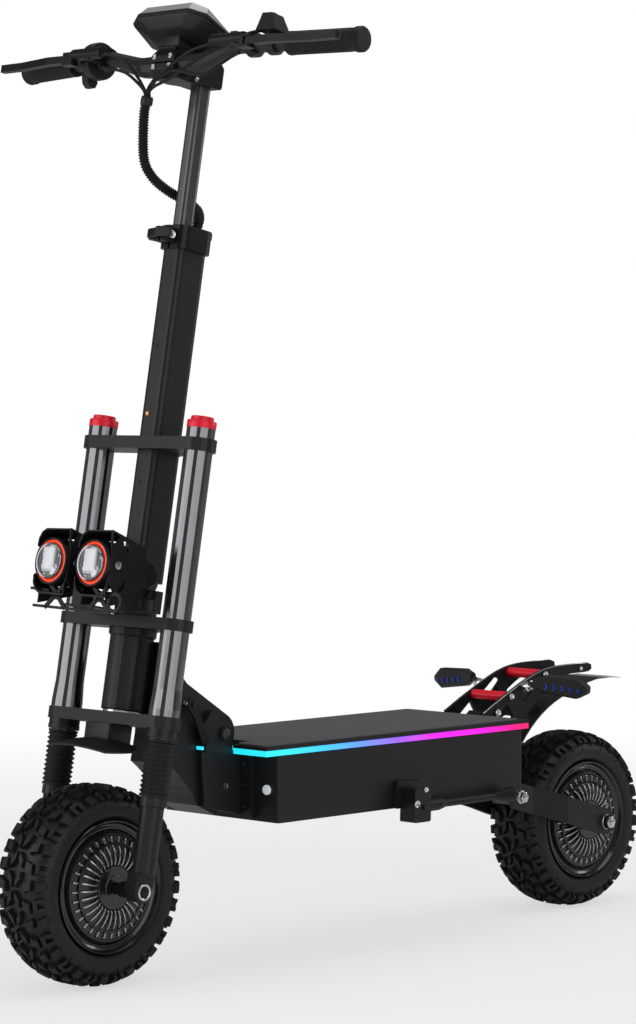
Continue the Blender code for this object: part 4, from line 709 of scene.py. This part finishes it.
def cheek(across, up):
    """The near side of a hood: a flange cut by a triangle and a round-ended slot."""
    level = lambda points: [(y, LAMP_HEIGHT + up * rise) for y, rise in points]
    outline = level([(-0.1335, 0.048), (-0.069, 0.0322), (-0.06, -0.0004), (-0.129, -0.0004), (-0.1305, 0.02),
                     (-0.1335, 0.03)])
    holes = [level([(-0.13, 0.0445), (-0.117, 0.0405), (-0.129, 0.0255)]),
             level([(-0.112, 0.037), (-0.103, 0.035), (-0.0985, 0.03), (-0.0985, 0.0215), (-0.101, 0.02),
                    (-0.1065, 0.026)])]
    return pierced(outline, holes, "X", across - 0.0011, across + 0.0011)


def hood(middle):
    """The folded shield round a lamp: a visor above and below, and pierced cheeks on the near side."""
    plates = [visor(middle, up) for up in (1, -1)]
    plates += [cheek(middle + 0.0332, up) for up in (1, -1)]
    return together([softened(plate, 0.0004, 1) for plate in plates])


def flat_bar(start, end, width):
    """A bar of the lattice between two points of (across, up)."""
    a, b = Vector(start), Vector(end)
    side = (b - a).orthogonal().normalized() * width / 2
    return softened(prism([tuple(corner) for corner in (a - side, b - side, b + side, a + side)], "Y",
                          *LATTICE),
                    0.0004, 1)


def under_lattice():
    """The lattice that ties the lamps together below: rails, a cross under each lamp and an end ring."""
    parts = [flat_bar((-0.079, 0.3812), (0.085, 0.3768), 0.004),
             flat_bar((-0.088, 0.4055), (-0.048, 0.4035), 0.004)]
    for middle in (-0.032, 0.059):
        parts += [flat_bar((middle - lean * 0.0215, 0.379), (middle + lean * 0.015, 0.413), 0.0066)
                  for lean in (-1, 1)]
        parts.append(flat_bar((middle - 0.008, 0.396), (middle + 0.008, 0.396), 0.01))
    ring = pierced(circle((0.0905, 0.3915), 0.015, 28), [circle((0.0905, 0.3915), 0.0098, 28)], "Y", *LATTICE)
    parts += [softened(ring, 0.0004, 1), flat_bar((0.013, 0.386), (0.013, 0.41), 0.02)]
    parts.append(softened(prism([(-0.024, -0.125), (0.044, -0.125), (0.036, -0.064), (-0.036, -0.064)], "Z",
                                0.3845, 0.3869), 0.0004, 1))
    parts += [softened(rod((side * 0.068, -0.0455, 0.413), (side * 0.08, -0.0455, 0.413), 0.0072, 28), 0.0008,
                       2)
              for side in SIDES]
    parts += [softened(prism([(-0.125, 0.385), (-0.0455, 0.407), (-0.0455, 0.419), (-0.125, 0.406)], "X",
                             side * 0.0705 - 0.0012, side * 0.0705 + 0.0012), 0.0004, 1) for side in SIDES]
    return together(parts)


def make_lamp(word, side):
    """One lamp: a shell, its hood, a lit ring, a bowl with two emitters, a clear lens and a side bolt."""
    middle = side * 0.0435
    centre = (middle, 0, LAMP_HEIGHT)
    profile = [(-0.106, LAMP_HEIGHT - 0.03), (-0.106, LAMP_HEIGHT + 0.03), (-0.08, LAMP_HEIGHT + 0.028),
               (-0.042, LAMP_HEIGHT + 0.012), (-0.03, LAMP_HEIGHT + 0.004), (-0.03, LAMP_HEIGHT - 0.014),
               (-0.058, LAMP_HEIGHT - 0.028)]
    body = softened(prism(profile, "X", middle - 0.0295, middle + 0.0295), 0.0035, 3)
    barrel = spun([(0.026, -0.1), (0.0338, -0.104), (0.0341, -0.131), (0.0332, -0.1342), (0.0316, LAMP_FACE),
                   (0.031, LAMP_FACE), (0.0308, -0.13), (0.026, -0.13)], "Y", 64, centre)
    fins = [prism(rect(middle - 0.0312, y, middle + 0.0312, y + 0.003),
                  "Z", LAMP_HEIGHT - 0.026, LAMP_HEIGHT + 0.026 - 0.5 * (y + 0.098)) for y in
            (-0.098, -0.089, -0.08, -0.071)]
    foot = softened(prism([(-0.072, 0.3833), (-0.022, 0.3833), (-0.022, 0.3893), (-0.05, 0.3893),
                           (-0.056, 0.4186),
                           (-0.074, 0.4186)], "X", middle - 0.0105, middle + 0.0105), 0.0008, 1)
    on_steering(f"lamp_housing_{word}", together([body, barrel, foot] + fins), SATIN_BLACK,
                (f"headlamp_{word}",))
    on_steering(f"lamp_hood_{word}", hood(middle), BLACK_ALLOY)
    ring = spun([(0.0262, -0.1295), (0.0304, -0.1295), (0.0306, -0.1318), (0.0298, -0.134), (0.0282, -0.1346),
                 (0.0268, -0.1338), (0.0261, -0.1315)], "Y", 72, centre)
    on_steering(f"lamp_ring_{word}", ring, RING_LIGHT)
    bowl = spun([(0.0, -0.1352), (0.0225, -0.1352), (0.0232, -0.1388), (0.025, -0.1392), (0.0258, -0.138),
                 (0.0262, -0.129), (0.0, -0.129)], "Y", 56, centre)
    on_steering(f"lamp_bowl_{word}", bowl, DARK_CHROME)
    dark = [(-0.006, -0.0225, 0.006, -0.015), (0.0118, -0.004, 0.0142, 0.016),
            (-0.0205, -0.006, -0.0178, 0.008),
            (0.0165, -0.008, 0.019, 0.006), (-0.019, -0.017, -0.0065, -0.015)]
    blocks = [softened(prism(rect(middle + a, LAMP_HEIGHT + b, middle + c, LAMP_HEIGHT + d), "Y", -0.1372,
                             -0.135), 0.0004, 1) for a, b, c, d in dark]
    on_steering(f"lamp_mask_{word}", together(blocks), GLOSS_BLACK)
    panel = softened(prism(rect(middle - 0.0135, LAMP_HEIGHT - 0.0125, middle + 0.0095, LAMP_HEIGHT + 0.0195),
                           "Y",
                           -0.1385, -0.1345), 0.0016, 3)
    lens_spot = softened(rod((middle + 0.011, -0.1385, LAMP_HEIGHT - 0.0155),
                             (middle + 0.011, -0.1345, LAMP_HEIGHT - 0.0155), 0.0062, 28), 0.0016, 3)
    on_steering(f"lamp_emitter_{word}", together([panel, lens_spot]), WHITE_LAMP_AND_HIGHLIGHT)
    lens = spun([(0.0, -0.1412), (0.012, -0.1408), (0.019, -0.14), (0.0242, -0.139), (0.0242, -0.1384),
                 (0.0188, -0.1393), (0.0118, -0.1401), (0.0, -0.1405)], "Y", 48, centre)
    on_steering(f"lamp_lens_{word}", lens, LENS_GLASS)
    tab = softened(prism(rect(-0.101, LAMP_HEIGHT - 0.007, -0.111, LAMP_HEIGHT + 0.007), "X",
                         middle - 0.04, middle - 0.029), 0.001, 2)
    on_steering(f"lamp_tab_{word}", tab, DARK_RED)
    bolt = softened(rod((middle + 0.0325, -0.116, LAMP_HEIGHT), (middle + 0.0362, -0.116, LAMP_HEIGHT),
                        0.0058, 32),
                    0.001, 2)
    on_steering(f"lamp_bolt_{word}", bolt, MACHINED)


def make_headlamps():
    for word, side in LEFT_AND_RIGHT:
        make_lamp(word, side)
    on_steering("lamp_lattice", under_lattice(), BLACK_ALLOY)


# Handlebar and controls

BAR_BEND = Vector((0.128, -0.3544, 1.3262))
BAR_TIP = Vector((0.3445, -0.326, 1.3225))
GRIP_INNER = 0.222


def along_bar(side, x):
    """A frame on the bar at a distance from the centre plane, its X running outward."""
    bend = Vector((side * BAR_BEND.x, BAR_BEND.y, BAR_BEND.z))
    tip = Vector((side * BAR_TIP.x, BAR_TIP.y, BAR_TIP.z))
    spot = bend.lerp(tip, (x - BAR_BEND.x) / (BAR_TIP.x - BAR_BEND.x))
    turn = Vector((1, 0, 0)).rotation_difference(tip - bend).to_matrix().to_4x4()
    return Matrix.Translation(spot) @ turn


def make_grips():
    """Rubber grips with fine rings between a plain inner collar and the end flange."""
    length = 0.1225
    outline = [(0.0114, 0.0008), (0.0168, 0.0008), (0.0172, 0.003), (0.017, 0.008)]
    rings = 22
    for number in range(rings):
        start = 0.01 + number * (length - 0.026) / rings
        outline += [(0.0162, start), (0.0162, start + 0.001), (0.0168, start + 0.0017),
                    (0.0168, start + 0.0036)]
    outline += [(0.0165, length - 0.012), (0.017, length - 0.006), (0.0182, length - 0.0045),
                (0.0182, length + 0.003), (0.0165, length + 0.0056), (0.0, length + 0.0056),
                (0.0, length + 0.0006),
                (0.0114, length + 0.0006)]
    for word, side in LEFT_AND_RIGHT:
        keep(f"ringed_grip_{word}", spun(outline, "X", 48), "upper_stem", RUBBER,
             along_bar(side, GRIP_INNER), (f"grip_{word}",), sharp=50)


DISPLAY = (STEERING @ Matrix.Translation(STEERING.inverted() @ Vector((0, -0.341, 1.356)))
           @ Matrix.Rotation(RAKE, 4, "X") @ Matrix.Rotation(math.radians(-34), 4, "X"))
DISPLAY_HALF = ((0.0525, -0.045), (0.0765, -0.029), (0.0835, 0.024), (0.06, 0.045))


def display_shape(levels):
    """An eight-sided shell through levels of (share of the width, share of the depth, rise, slope)."""
    outline = list(DISPLAY_HALF) + [(-x, y) for x, y in reversed(DISPLAY_HALF)]
    shape = bmesh.new()
    loops = []
    for wide, deep, rise, slope in levels:
        ring = [shape.verts.new((x * wide, y * deep, rise + slope * y)) for x, y in outline]
        loops.append([shape.edges.new(pair) for pair in zip(ring, ring[1:] + ring[:1])])
    for lower, upper in zip(loops, loops[1:]):
        bmesh.ops.bridge_loops(shape, edges=lower + upper)
    bmesh.ops.holes_fill(shape, edges=loops[0] + loops[-1])
    bmesh.ops.recalc_face_normals(shape, faces=shape.faces)
    return shape


def make_display():
    """The display: a flared back on its post, a darker belt, a bright bevel and the glass."""
    post = softened(prism(rect(-0.016, -0.0754, 0.016, -0.0494), "Z",
                          1.2012, 1.219), 0.001, 2)
    moved(post, DISPLAY.inverted() @ STEERING)
    back = softened(display_shape(((0.58, 0.66, -0.015, 0), (0.95, 0.95, -0.004, 0),
                                   (0.985, 0.985, -0.001, 0))),
                    0.0012, 2, 12)
    keep("display_shell", together([back, post]), "upper_stem", MOULDED_BLACK, DISPLAY,
         ("display_housing",))
    belt = softened(display_shape(((0.97, 0.97, -0.0008, 0), (1.0, 1.0, 0.0, 0), (1.0, 1.0, 0.004, 0),
                                   (0.985, 0.98, 0.005, -0.004))), 0.0006, 2, 12)
    keep("display_belt", belt, "upper_stem", SATIN_BLACK, DISPLAY)
    bezel = softened(display_shape(((0.985, 0.98, 0.0046, -0.004), (0.9, 0.88, 0.0133, -0.13),
                                    (0.88, 0.86, 0.0134, -0.13))), 0.0006, 2, 12)
    keep("display_bezel", bezel, "upper_stem", SILVER_PAINT, DISPLAY)
    glass = softened(display_shape(((0.84, 0.81, 0.013, -0.13), (0.84, 0.81, 0.0143, -0.13),
                                    (0.83, 0.8, 0.0147, -0.13))), 0.0003, 1, 12)
    keep("display_glass", glass, "upper_stem", SCREEN_GLASS, DISPLAY)


def make_clamp_details():
    """Screws of the bar clamp, dark discs painted as the shade in the stem's holes, the stem's screw, and the
    bolt of the collar.
    """
    bolts = [socket_screw((x, y, h), (0, -1, 0), 0.004, 0.0034) for x, y, h in
             ((-0.0165, -0.0866, 1.169), (0.0165, -0.0866, 1.169), (-0.0165, -0.086, 1.1835),
              (0.0165, -0.086, 1.1835))]
    bolts += [socket_screw((side * 0.024, -0.04, 1.16), (side, 0, 0), 0.0036, 0.003) for side in SIDES]
    keep("clamp_screws", together(bolts), "upper_stem", STEEL, STEERING)
    # Dark discs on the stem's front: painted shade standing for its two holes.
    holes = [rod((x, -0.02345, h), (x, -0.0228, h), radius, 24) for x, h, radius in
             ((-0.0015, 0.774, 0.0026), (-0.002, 0.576, 0.0034))]
    on_steering("stem_hole_shade_discs", together(holes), RUBBER)
    on_steering("stem_screw", socket_screw((-0.003, -0.0233, 0.675), (0, -1, 0), 0.0036, 0.0014), COPPER)
    on_steering("collar_bolt", socket_screw((0.0125, -0.038, 0.9335), (1, 0, 0), 0.0058, 0.004), STEEL)


CABLE_RADIUS = 0.0023
CONDUIT_RADIUS = 0.0078
CONDUIT_STEP = 0.00098  # a quarter of the length of one rib


def make_cables():
    """The ribbed conduit down the stem, and the thin cables that gather into its top."""
    knots = [(-0.051, -0.36, 1.2645), (-0.0562, -0.362, 1.238), (-0.0585, -0.3605, 1.18),
             (-0.054, -0.3495, 1.1525), (-0.0435, -0.329, 1.1325), (-0.03, -0.306, 1.1175),
             (-0.013, -0.2985, 1.104), (-0.002, -0.3035, 1.091), (0.0, -0.3089, 1.0789),
             (0.0, -0.3103, 1.0711)]
    lengths = smooth_path(knots, 4)
    reach = sum((b - a).length for a, b in zip(lengths, lengths[1:]))
    path = evenly(smooth_path(knots, 24), round(reach / CONDUIT_STEP))
    conduit = swept(path, CONDUIT_RADIUS, 14, lambda number: (1.0, 1.0, 0.82, 0.8)[number % 4])
    keep("ribbed_conduit", conduit, ("upper_stem", "steering", knots[1], knots[-1]), RUBBER, None,
         ("stem_conduit",), sharp=50)
    mouth = (-0.0512, -0.3602, 1.262)
    leads = {
        "left_brake_cable": ((0.1131, -0.392, 1.3278), (0.0786, -0.398, 1.32), (0.0394, -0.398, 1.303),
                             (-0.004, -0.385, 1.2905), (-0.03, -0.372, 1.283), (-0.047, -0.364, 1.2735)),
        "looped_cable": ((0.15, -0.37, 1.315), (0.1349, -0.372, 1.3095), (0.118, -0.385, 1.2957),
                         (0.0999, -0.394, 1.285), (0.0663, -0.396, 1.292), (0.03, -0.392, 1.296),
                         (-0.01, -0.379, 1.287), (-0.04, -0.3655, 1.278)),
        "switch_cable": ((0.19, -0.356, 1.344), (0.1627, -0.354, 1.344), (0.1489, -0.367, 1.338),
                         (0.1309, -0.378, 1.328), (0.08, -0.395, 1.304), (0.03, -0.39, 1.286),
                         (-0.02, -0.375, 1.278), (-0.045, -0.3635, 1.2705)),
        "right_brake_cable": ((-0.1131, -0.392, 1.3278), (-0.1016, -0.39, 1.329), (-0.0736, -0.385, 1.3175),
                              (-0.059, -0.374, 1.2963), (-0.053, -0.364, 1.276)),
        "throttle_cable": ((-0.15, -0.364, 1.316), (-0.1279, -0.375, 1.312), (-0.0846, -0.375, 1.303),
                           (-0.063, -0.369, 1.287), (-0.0545, -0.3625, 1.2735)),
        "display_cable": ((-0.018, -0.343, 1.35), (-0.04, -0.335, 1.325), (-0.05, -0.342, 1.296),
                          (-0.052, -0.354, 1.276)),
    }
    for number, (name, route) in enumerate(leads.items()):
        turn = math.tau * number / len(leads)
        end = Vector(mouth) + Vector((0.0034 * math.cos(turn), 0.0034 * math.sin(turn), 0.0))
        lead = swept(smooth_path([*route, end], 8), CABLE_RADIUS, 10)
        keep(name, lead, "upper_stem", RUBBER, sharp=60)
    cap = spun([(0.0, 0.0), (0.0084, 0.0), (0.009, 0.002), (0.009, 0.01), (0.0076, 0.013), (0.0, 0.013)], "Z",
               24)
    keep("conduit_cap", cap, "upper_stem", MOULDED_BLACK,
         aimed((-0.0532, -0.3608, 1.254), (-0.0505, -0.3598, 1.267)))


def make_front_mudguard():
    """A short crowned mudguard that droops towards its sides, hung from the lower crown by a block."""
    shape = bmesh.new()
    bmesh.ops.create_grid(shape, x_segments=16, y_segments=16, size=1.0)
    for corner in shape.verts:
        u, v = corner.co.x, corner.co.y
        u, v = u * math.sqrt(1 - 0.3 * v * v), v * math.sqrt(1 - 0.42 * u * u)
        angle = math.radians(-8.5 + 12.5 * v) + RAKE
        radius = 0.208 - 0.015 * u * u - 0.002 * v * v
        corner.co = (0.074 * u, radius * math.sin(angle), radius * math.cos(angle))
    bmesh.ops.solidify(shape, geom=shape.faces[:], thickness=0.0026)
    moved(shape, STEERING.inverted() @ Matrix.Translation(FRONT_AXLE))
    hanger = softened(prism(rect(-0.025, -0.045, 0.025, 0.0), "Z", 0.199,
                            0.2282), 0.001, 2)
    on_steering("front_mudguard_shell", together([shape, hanger]), MOULDED_BLACK,
                ("front_mudguard",))


# Deck, hinge and tail

def make_deck_details():
    """Glowing white discs on the front of the deck, a painted highlight for a bright white spot there, and
    the screws of the folding bracket.
    """
    for word, side in LEFT_AND_RIGHT:
        spot = (side * 0.0978, -0.2628, 0.263)
        # The disc glows white: a painted highlight standing for a bright white spot, no lamp.
        lamp = softened(rod(spot, (spot[0], spot[1] - 0.0045, spot[2]), 0.0072, 28), 0.001, 2)
        keep(f"painted_highlight_disc_{word}", lamp, "deck", WHITE_LAMP_AND_HIGHLIGHT)
    bolts = [socket_screw((side * 0.062, -0.2728, z), (0, -1, 0), 0.0042, 0.0034)
             for side in SIDES for z in (0.236, 0.2675, 0.299)]
    bolts += [socket_screw((side * 0.0855, -0.2628, 0.263), (0, -1, 0), 0.0036, 0.003) for side in SIDES]
    keep("bracket_screws", together(bolts), "deck", BLACK_ALLOY)
    bolts = [socket_screw((side * 0.05, -0.3029, 0.2679), (side, 0, 0), 0.0048, 0.0026) for side in SIDES]
    bolts += [softened(rod((side * 0.0534, -0.304, 0.344), (side * 0.0556, -0.304, 0.344), 0.0076, 32),
                       0.0008, 2)
              for side in SIDES]
    keep("hinge_caps", together(bolts), "deck", GREY_ALLOY)
    glow = [softened(prism(rect(side * 0.0473 - 0.007, 0.324, side * 0.0473 + 0.007, 0.329), "Y", -0.3512,
                           -0.349),
                     0.0008, 2) for side in SIDES]
    keep("hinge_lights", together(glow), "deck", CYAN_LIGHT)
    bolts = [socket_screw((side * 0.0512, -0.3814, 0.394), (0, -1, 0.06), 0.0036, 0.0026) for side in SIDES]
    keep("latch_screws", together(bolts), "latch", STEEL)
    for word, side in LEFT_AND_RIGHT:
        strip = pierced(rect(side * 0.0225, 0.248, side * 0.041, 0.352),
                        [circle((side * 0.0292, height), 0.0032) for height in (0.2889, 0.3133, 0.3376)],
                        "Y", 0.0186, 0.0199)
        keep(f"neck_strip_{word}", softened(strip, 0.0003, 1), "neck", BLACK_ALLOY, STEERING)


def chevrons(count):
    """Small arrow-head lights in a row along X, pointing outward."""
    marks = []
    for number in range(count):
        start = 0.012 + number * 0.0145
        size = 0.0052 - 0.0005 * number
        outline = [(start, -size), (start + 0.003, -size), (start + 0.0075, 0.0), (start + 0.003, size),
                   (start, size), (start + 0.0045, 0.0)]
        marks.append(prism(outline, "Y", 0.0, 0.0012))
    return together(marks)


def make_signals():
    """Arrow lights on the stalks' front faces and the ball joints that carry the stalks."""
    start, end = Vector((0.066, 0.369, 0.378)), Vector((0.164, 0.388, 0.37))
    turn = Vector((1, 0, 0)).rotation_difference((end - start).normalized()).to_matrix().to_4x4()
    for word, side in LEFT_AND_RIGHT:
        flip = Matrix.Scale(side, 4, (1, 0, 0))
        here = flip @ Matrix.Translation(start) @ turn
        front = moved(chevrons(5), Matrix.Translation((0.01, -0.0112, -0.0035)))
        keep(f"signal_lights_{word}", front, "deck", DARK_BLUE_LIGHT, here)
        joint = spun([(0.0, 0.042), (0.0056, 0.042), (0.0056, 0.0448), (0.0072, 0.0462), (0.008, 0.05),
                      (0.0072, 0.0538), (0.0048, 0.0556), (0.0048, 0.06), (0.0, 0.06)], "X", 32,
                     (0, 0.367, 0.37))
        keep(f"signal_joint_{word}", joint, "deck", STEEL, flip)


TAIL_OUTER = 0.0422


def make_tail_details():
    """Screws on the tail plates, at the ends of both red tubes and along the upper edge."""
    spots = ((0.3044, 0.3316, 0.0062), (0.337, 0.3555, 0.0052), (0.42, 0.385, 0.006), (0.508, 0.3905, 0.0036))
    bolts = [socket_screw((side * TAIL_OUTER, y, z), (side, 0, 0), radius, 0.0036)
             for side in SIDES for y, z, radius in spots]
    keep("tail_screws", together(bolts), "deck", STEEL)
    upper = [(0.272, 0.3328), (0.33, 0.3605), (0.396, 0.3875), (0.448, 0.3975), (0.5284, 0.3987)]
    for word, side in LEFT_AND_RIGHT:
        edge = swept(smooth_path([(side * 0.0416, y, z - 0.0002) for y, z in upper], 6), 0.0007, 6)
        keep(f"tail_bright_edge_{word}", edge, "deck", STEEL, sharp=60)


def make_stand_details():
    """The kickstand's two bright bolts on the bracket's outer cheek."""
    bolts = [socket_screw((0.1534, y, z), (1, 0, 0), radius, 0.0026)
             for y, z, radius in ((-0.0041, 0.224, 0.0056), (0.015, 0.244, 0.0042))]
    keep("stand_screws", together(bolts), "deck", STEEL)


def make_swingarm_details():
    """Nuts on the arm's pivot and on the rear axle, and small dark discs on the arm's outer faces, painted
    shade for its tapped holes.
    """
    pivot_y, pivot_z = ARM_PIVOT
    drop = (TYRE_RADIUS - pivot_z) / (HALF_WHEELBASE - pivot_y)
    nuts = [hex_nut((side * 0.0702, *ARM_PIVOT), (side, 0, 0), 0.0082, 0.009) for side in SIDES]
    keep("pivot_nuts", together(nuts), "deck", STEEL)
    nuts = [hex_nut((side * 0.0882, HALF_WHEELBASE, TYRE_RADIUS), (side, 0, 0), 0.0092, 0.011)
            for side in SIDES]
    keep("rear_axle_nuts", together(nuts), "rear_arm", STEEL)
    places = [(y, pivot_z + drop * (y - pivot_y) + lift) for y in (0.455, 0.485) for lift in (-0.008, 0.01)]
    # Gloss black discs: painted shade standing for the tapped holes.
    holes = [rod((side * 0.0878, *place), (side * 0.0884, *place), 0.0018, 16) for side in SIDES
             for place in places]
    keep("arm_tapped_hole_shade_discs", together(holes), "rear_arm", GLOSS_BLACK)


def make_shock_spring():
    """The red spring, wound along the line from the shock's head to its foot."""
    top, foot = Vector((0, 0.303, 0.322)), Vector((0, 0.372, 0.215))
    down = (foot - top).normalized()
    home = aimed(top, top + down)
    turns, per_turn = 6.5, 20
    low, high = 0.0195, 0.104
    path = [home @ Vector((0.0138 * math.cos(math.tau * step / per_turn),
                           0.0138 * math.sin(math.tau * step / per_turn),
                           low + (high - low) * step / (turns * per_turn)))
            for step in range(int(turns * per_turn) + 1)]
    keep("shock_spring", swept(path, 0.0024, 8), ("shock_upper", "shock_lower", tuple(top + down * low),
                                                  tuple(top + down * high)), RED_ALLOY,
         sharp=60)


# Finishes of the solids that show as they are

SOLID_FINISHES = {
    SATIN_BLACK: "deck_box deck_lid fold_bracket neck_frame lower_crown mid_crown top_crown stem_outer "
                 "fork_leg_left fork_leg_right swingarm kickstand_bracket",
    BLACK_ALLOY: "kickstand_leg fold_latch stem_collar collar_lever bar_clamp brake_perch_left "
                 "brake_perch_right brake_lever_left brake_lever_right tail_plate_left tail_plate_right "
                 "front_caliper rear_caliper motor_controller shock_body front_axle rear_axle",
    SOFT_BLACK: "handlebar",
    GREY_ALLOY: "stem_inner",
    GUARD_FADE: "rear_mudguard",
    MOULDED_BLACK: "throttle_housing throttle_trigger switch_box turn_signal_left turn_signal_right",
    SMOKED_CHROME: "stanchion_left stanchion_right",
    STEEL: "headset_bearings shock_rod",
    RED_ALLOY: "tail_tube_lower tail_tube_upper switch_button",
    DECK_GRIP: "grip_pad",
    STRIP_LIGHT: "deck_led_strip",
    CELL_WRAP: "battery_pack",
}


def finish_solids():
    for material, names in SOLID_FINISHES.items():
        for name in names.split():
            solid = nodes[name]
            solid.data.materials.clear()
            solid.data.materials.append(material)


# Studio

PHOTO_BEARING = math.atan2(-0.722, 0.692)  # from the scooter towards the camera

def area_light(name, place, target, size, power):
    light = bpy.data.lights.new(name, "AREA")
    light.shape = "RECTANGLE"
    light.size, light.size_y = size
    light.energy = power
    lamp = bpy.data.objects.new(name, light)
    lamp.matrix_world = aimed(place, target) @ Matrix.Rotation(math.pi, 4, "X")
    bpy.context.scene.collection.objects.link(lamp)


def make_studio():
    floor = bmesh.new()
    bmesh.ops.create_grid(floor, x_segments=1, y_segments=1, size=30)
    mesh = bpy.data.meshes.new("studio_floor")
    floor.to_mesh(mesh)
    floor.free()
    ground = bpy.data.objects.new("studio_floor", mesh)
    bpy.context.scene.collection.objects.link(ground)
    ground.location.z = -0.0005
    paper = Finish("studio_paper", roughness=0.6)
    paper.feed("Base Color", (0.8, 0.8, 0.8))
    seen = paper.node("LightPath", "Is Camera Ray")
    far = paper.node("VectorMath", "Value", (("operation", "LENGTH"),), ((0, paper.place()),))
    share = paper.node("MapRange", "Result", inputs=(("Value", far), ("From Min", 0.9), ("From Max", 3.2),
                                                     ("To Min", 0.62), ("To Max", 1.0)))
    glow = paper.node("Emission", "Emission", inputs=(("Color", (1.0, 1.0, 1.0)), ("Strength", 1.0)))
    mixed = paper.node("MixShader", 0,
                       inputs=((0, seen * share), (1, Value(paper.tree, paper.shader.outputs[0])),
                               (2, glow)))
    out = paper.tree.nodes["Material Output"]
    paper.tree.links.new(mixed.socket, out.inputs["Surface"])
    mesh.materials.append(paper.material)

    world = bpy.data.worlds.new("studio_air")
    bpy.context.scene.world = world
    world.use_nodes = True
    tree = world.node_tree
    back = tree.nodes["Background"]
    path = tree.nodes.new("ShaderNodeLightPath")
    camera, glossy, through = (Value(tree, path.outputs[name]) for name in
                               ("Is Camera Ray", "Is Glossy Ray", "Is Transmission Ray"))
    strength = 0.32 + camera * 0.68 + through * 0.68 - glossy * 0.18
    tree.links.new(strength.socket, back.inputs["Strength"])
    back.inputs["Color"].default_value = (1, 1, 1, 1)

    for name, bearing, distance, height, size, power in (
            ("right_softbox", 24, 3.2, 1.5, (3.2, 2.6), 34), ("left_softbox", -66, 3.2, 1.4, (2.8, 2.6), 40)):
        turn = PHOTO_BEARING + math.radians(bearing)
        area_light(name, (distance * math.cos(turn), distance * math.sin(turn), height), (0, 0, 0.6), size,
                   power)
    area_light("top_softbox", (0.2, 0.3, 3.4), (0, 0, 0.3), (2.6, 2.6), 34)
    area_light("rear_strip", (1.2, 2.8, 1.6), (0, 0.2, 0.5), (0.6, 2.0), 14)


def make_camera():
    camera = bpy.data.cameras.new("photo_camera")
    camera.lens = 116.48
    camera.sensor_width = 36.0
    camera.clip_end = 100
    eye = bpy.data.objects.new("photo_camera", camera)
    eye.location = (3.4875, -3.6371, 0.836)
    eye.rotation_euler = (math.pi / 2 - math.radians(2.04), 0, math.radians(44.26))
    bpy.context.scene.collection.objects.link(eye)
    bpy.context.scene.camera = eye


make_camera()
make_studio()
finish_solids()
for end, body, axle in (("front", "front_wheel", FRONT_AXLE), ("rear", "rear_wheel", REAR_AXLE)):
    make_tyre(end, body, axle)
    make_hub(end, body, axle)
make_boots()
make_caps()
make_fork_details()
make_headlamps()
make_grips()
make_display()
make_clamp_details()
make_front_mudguard()
make_cables()
make_deck_details()
make_signals()
make_tail_details()
make_stand_details()
make_swingarm_details()
make_shock_spring()

bpy.context.scene.view_settings.view_transform = "Standard"
bpy.context.view_layer.update()
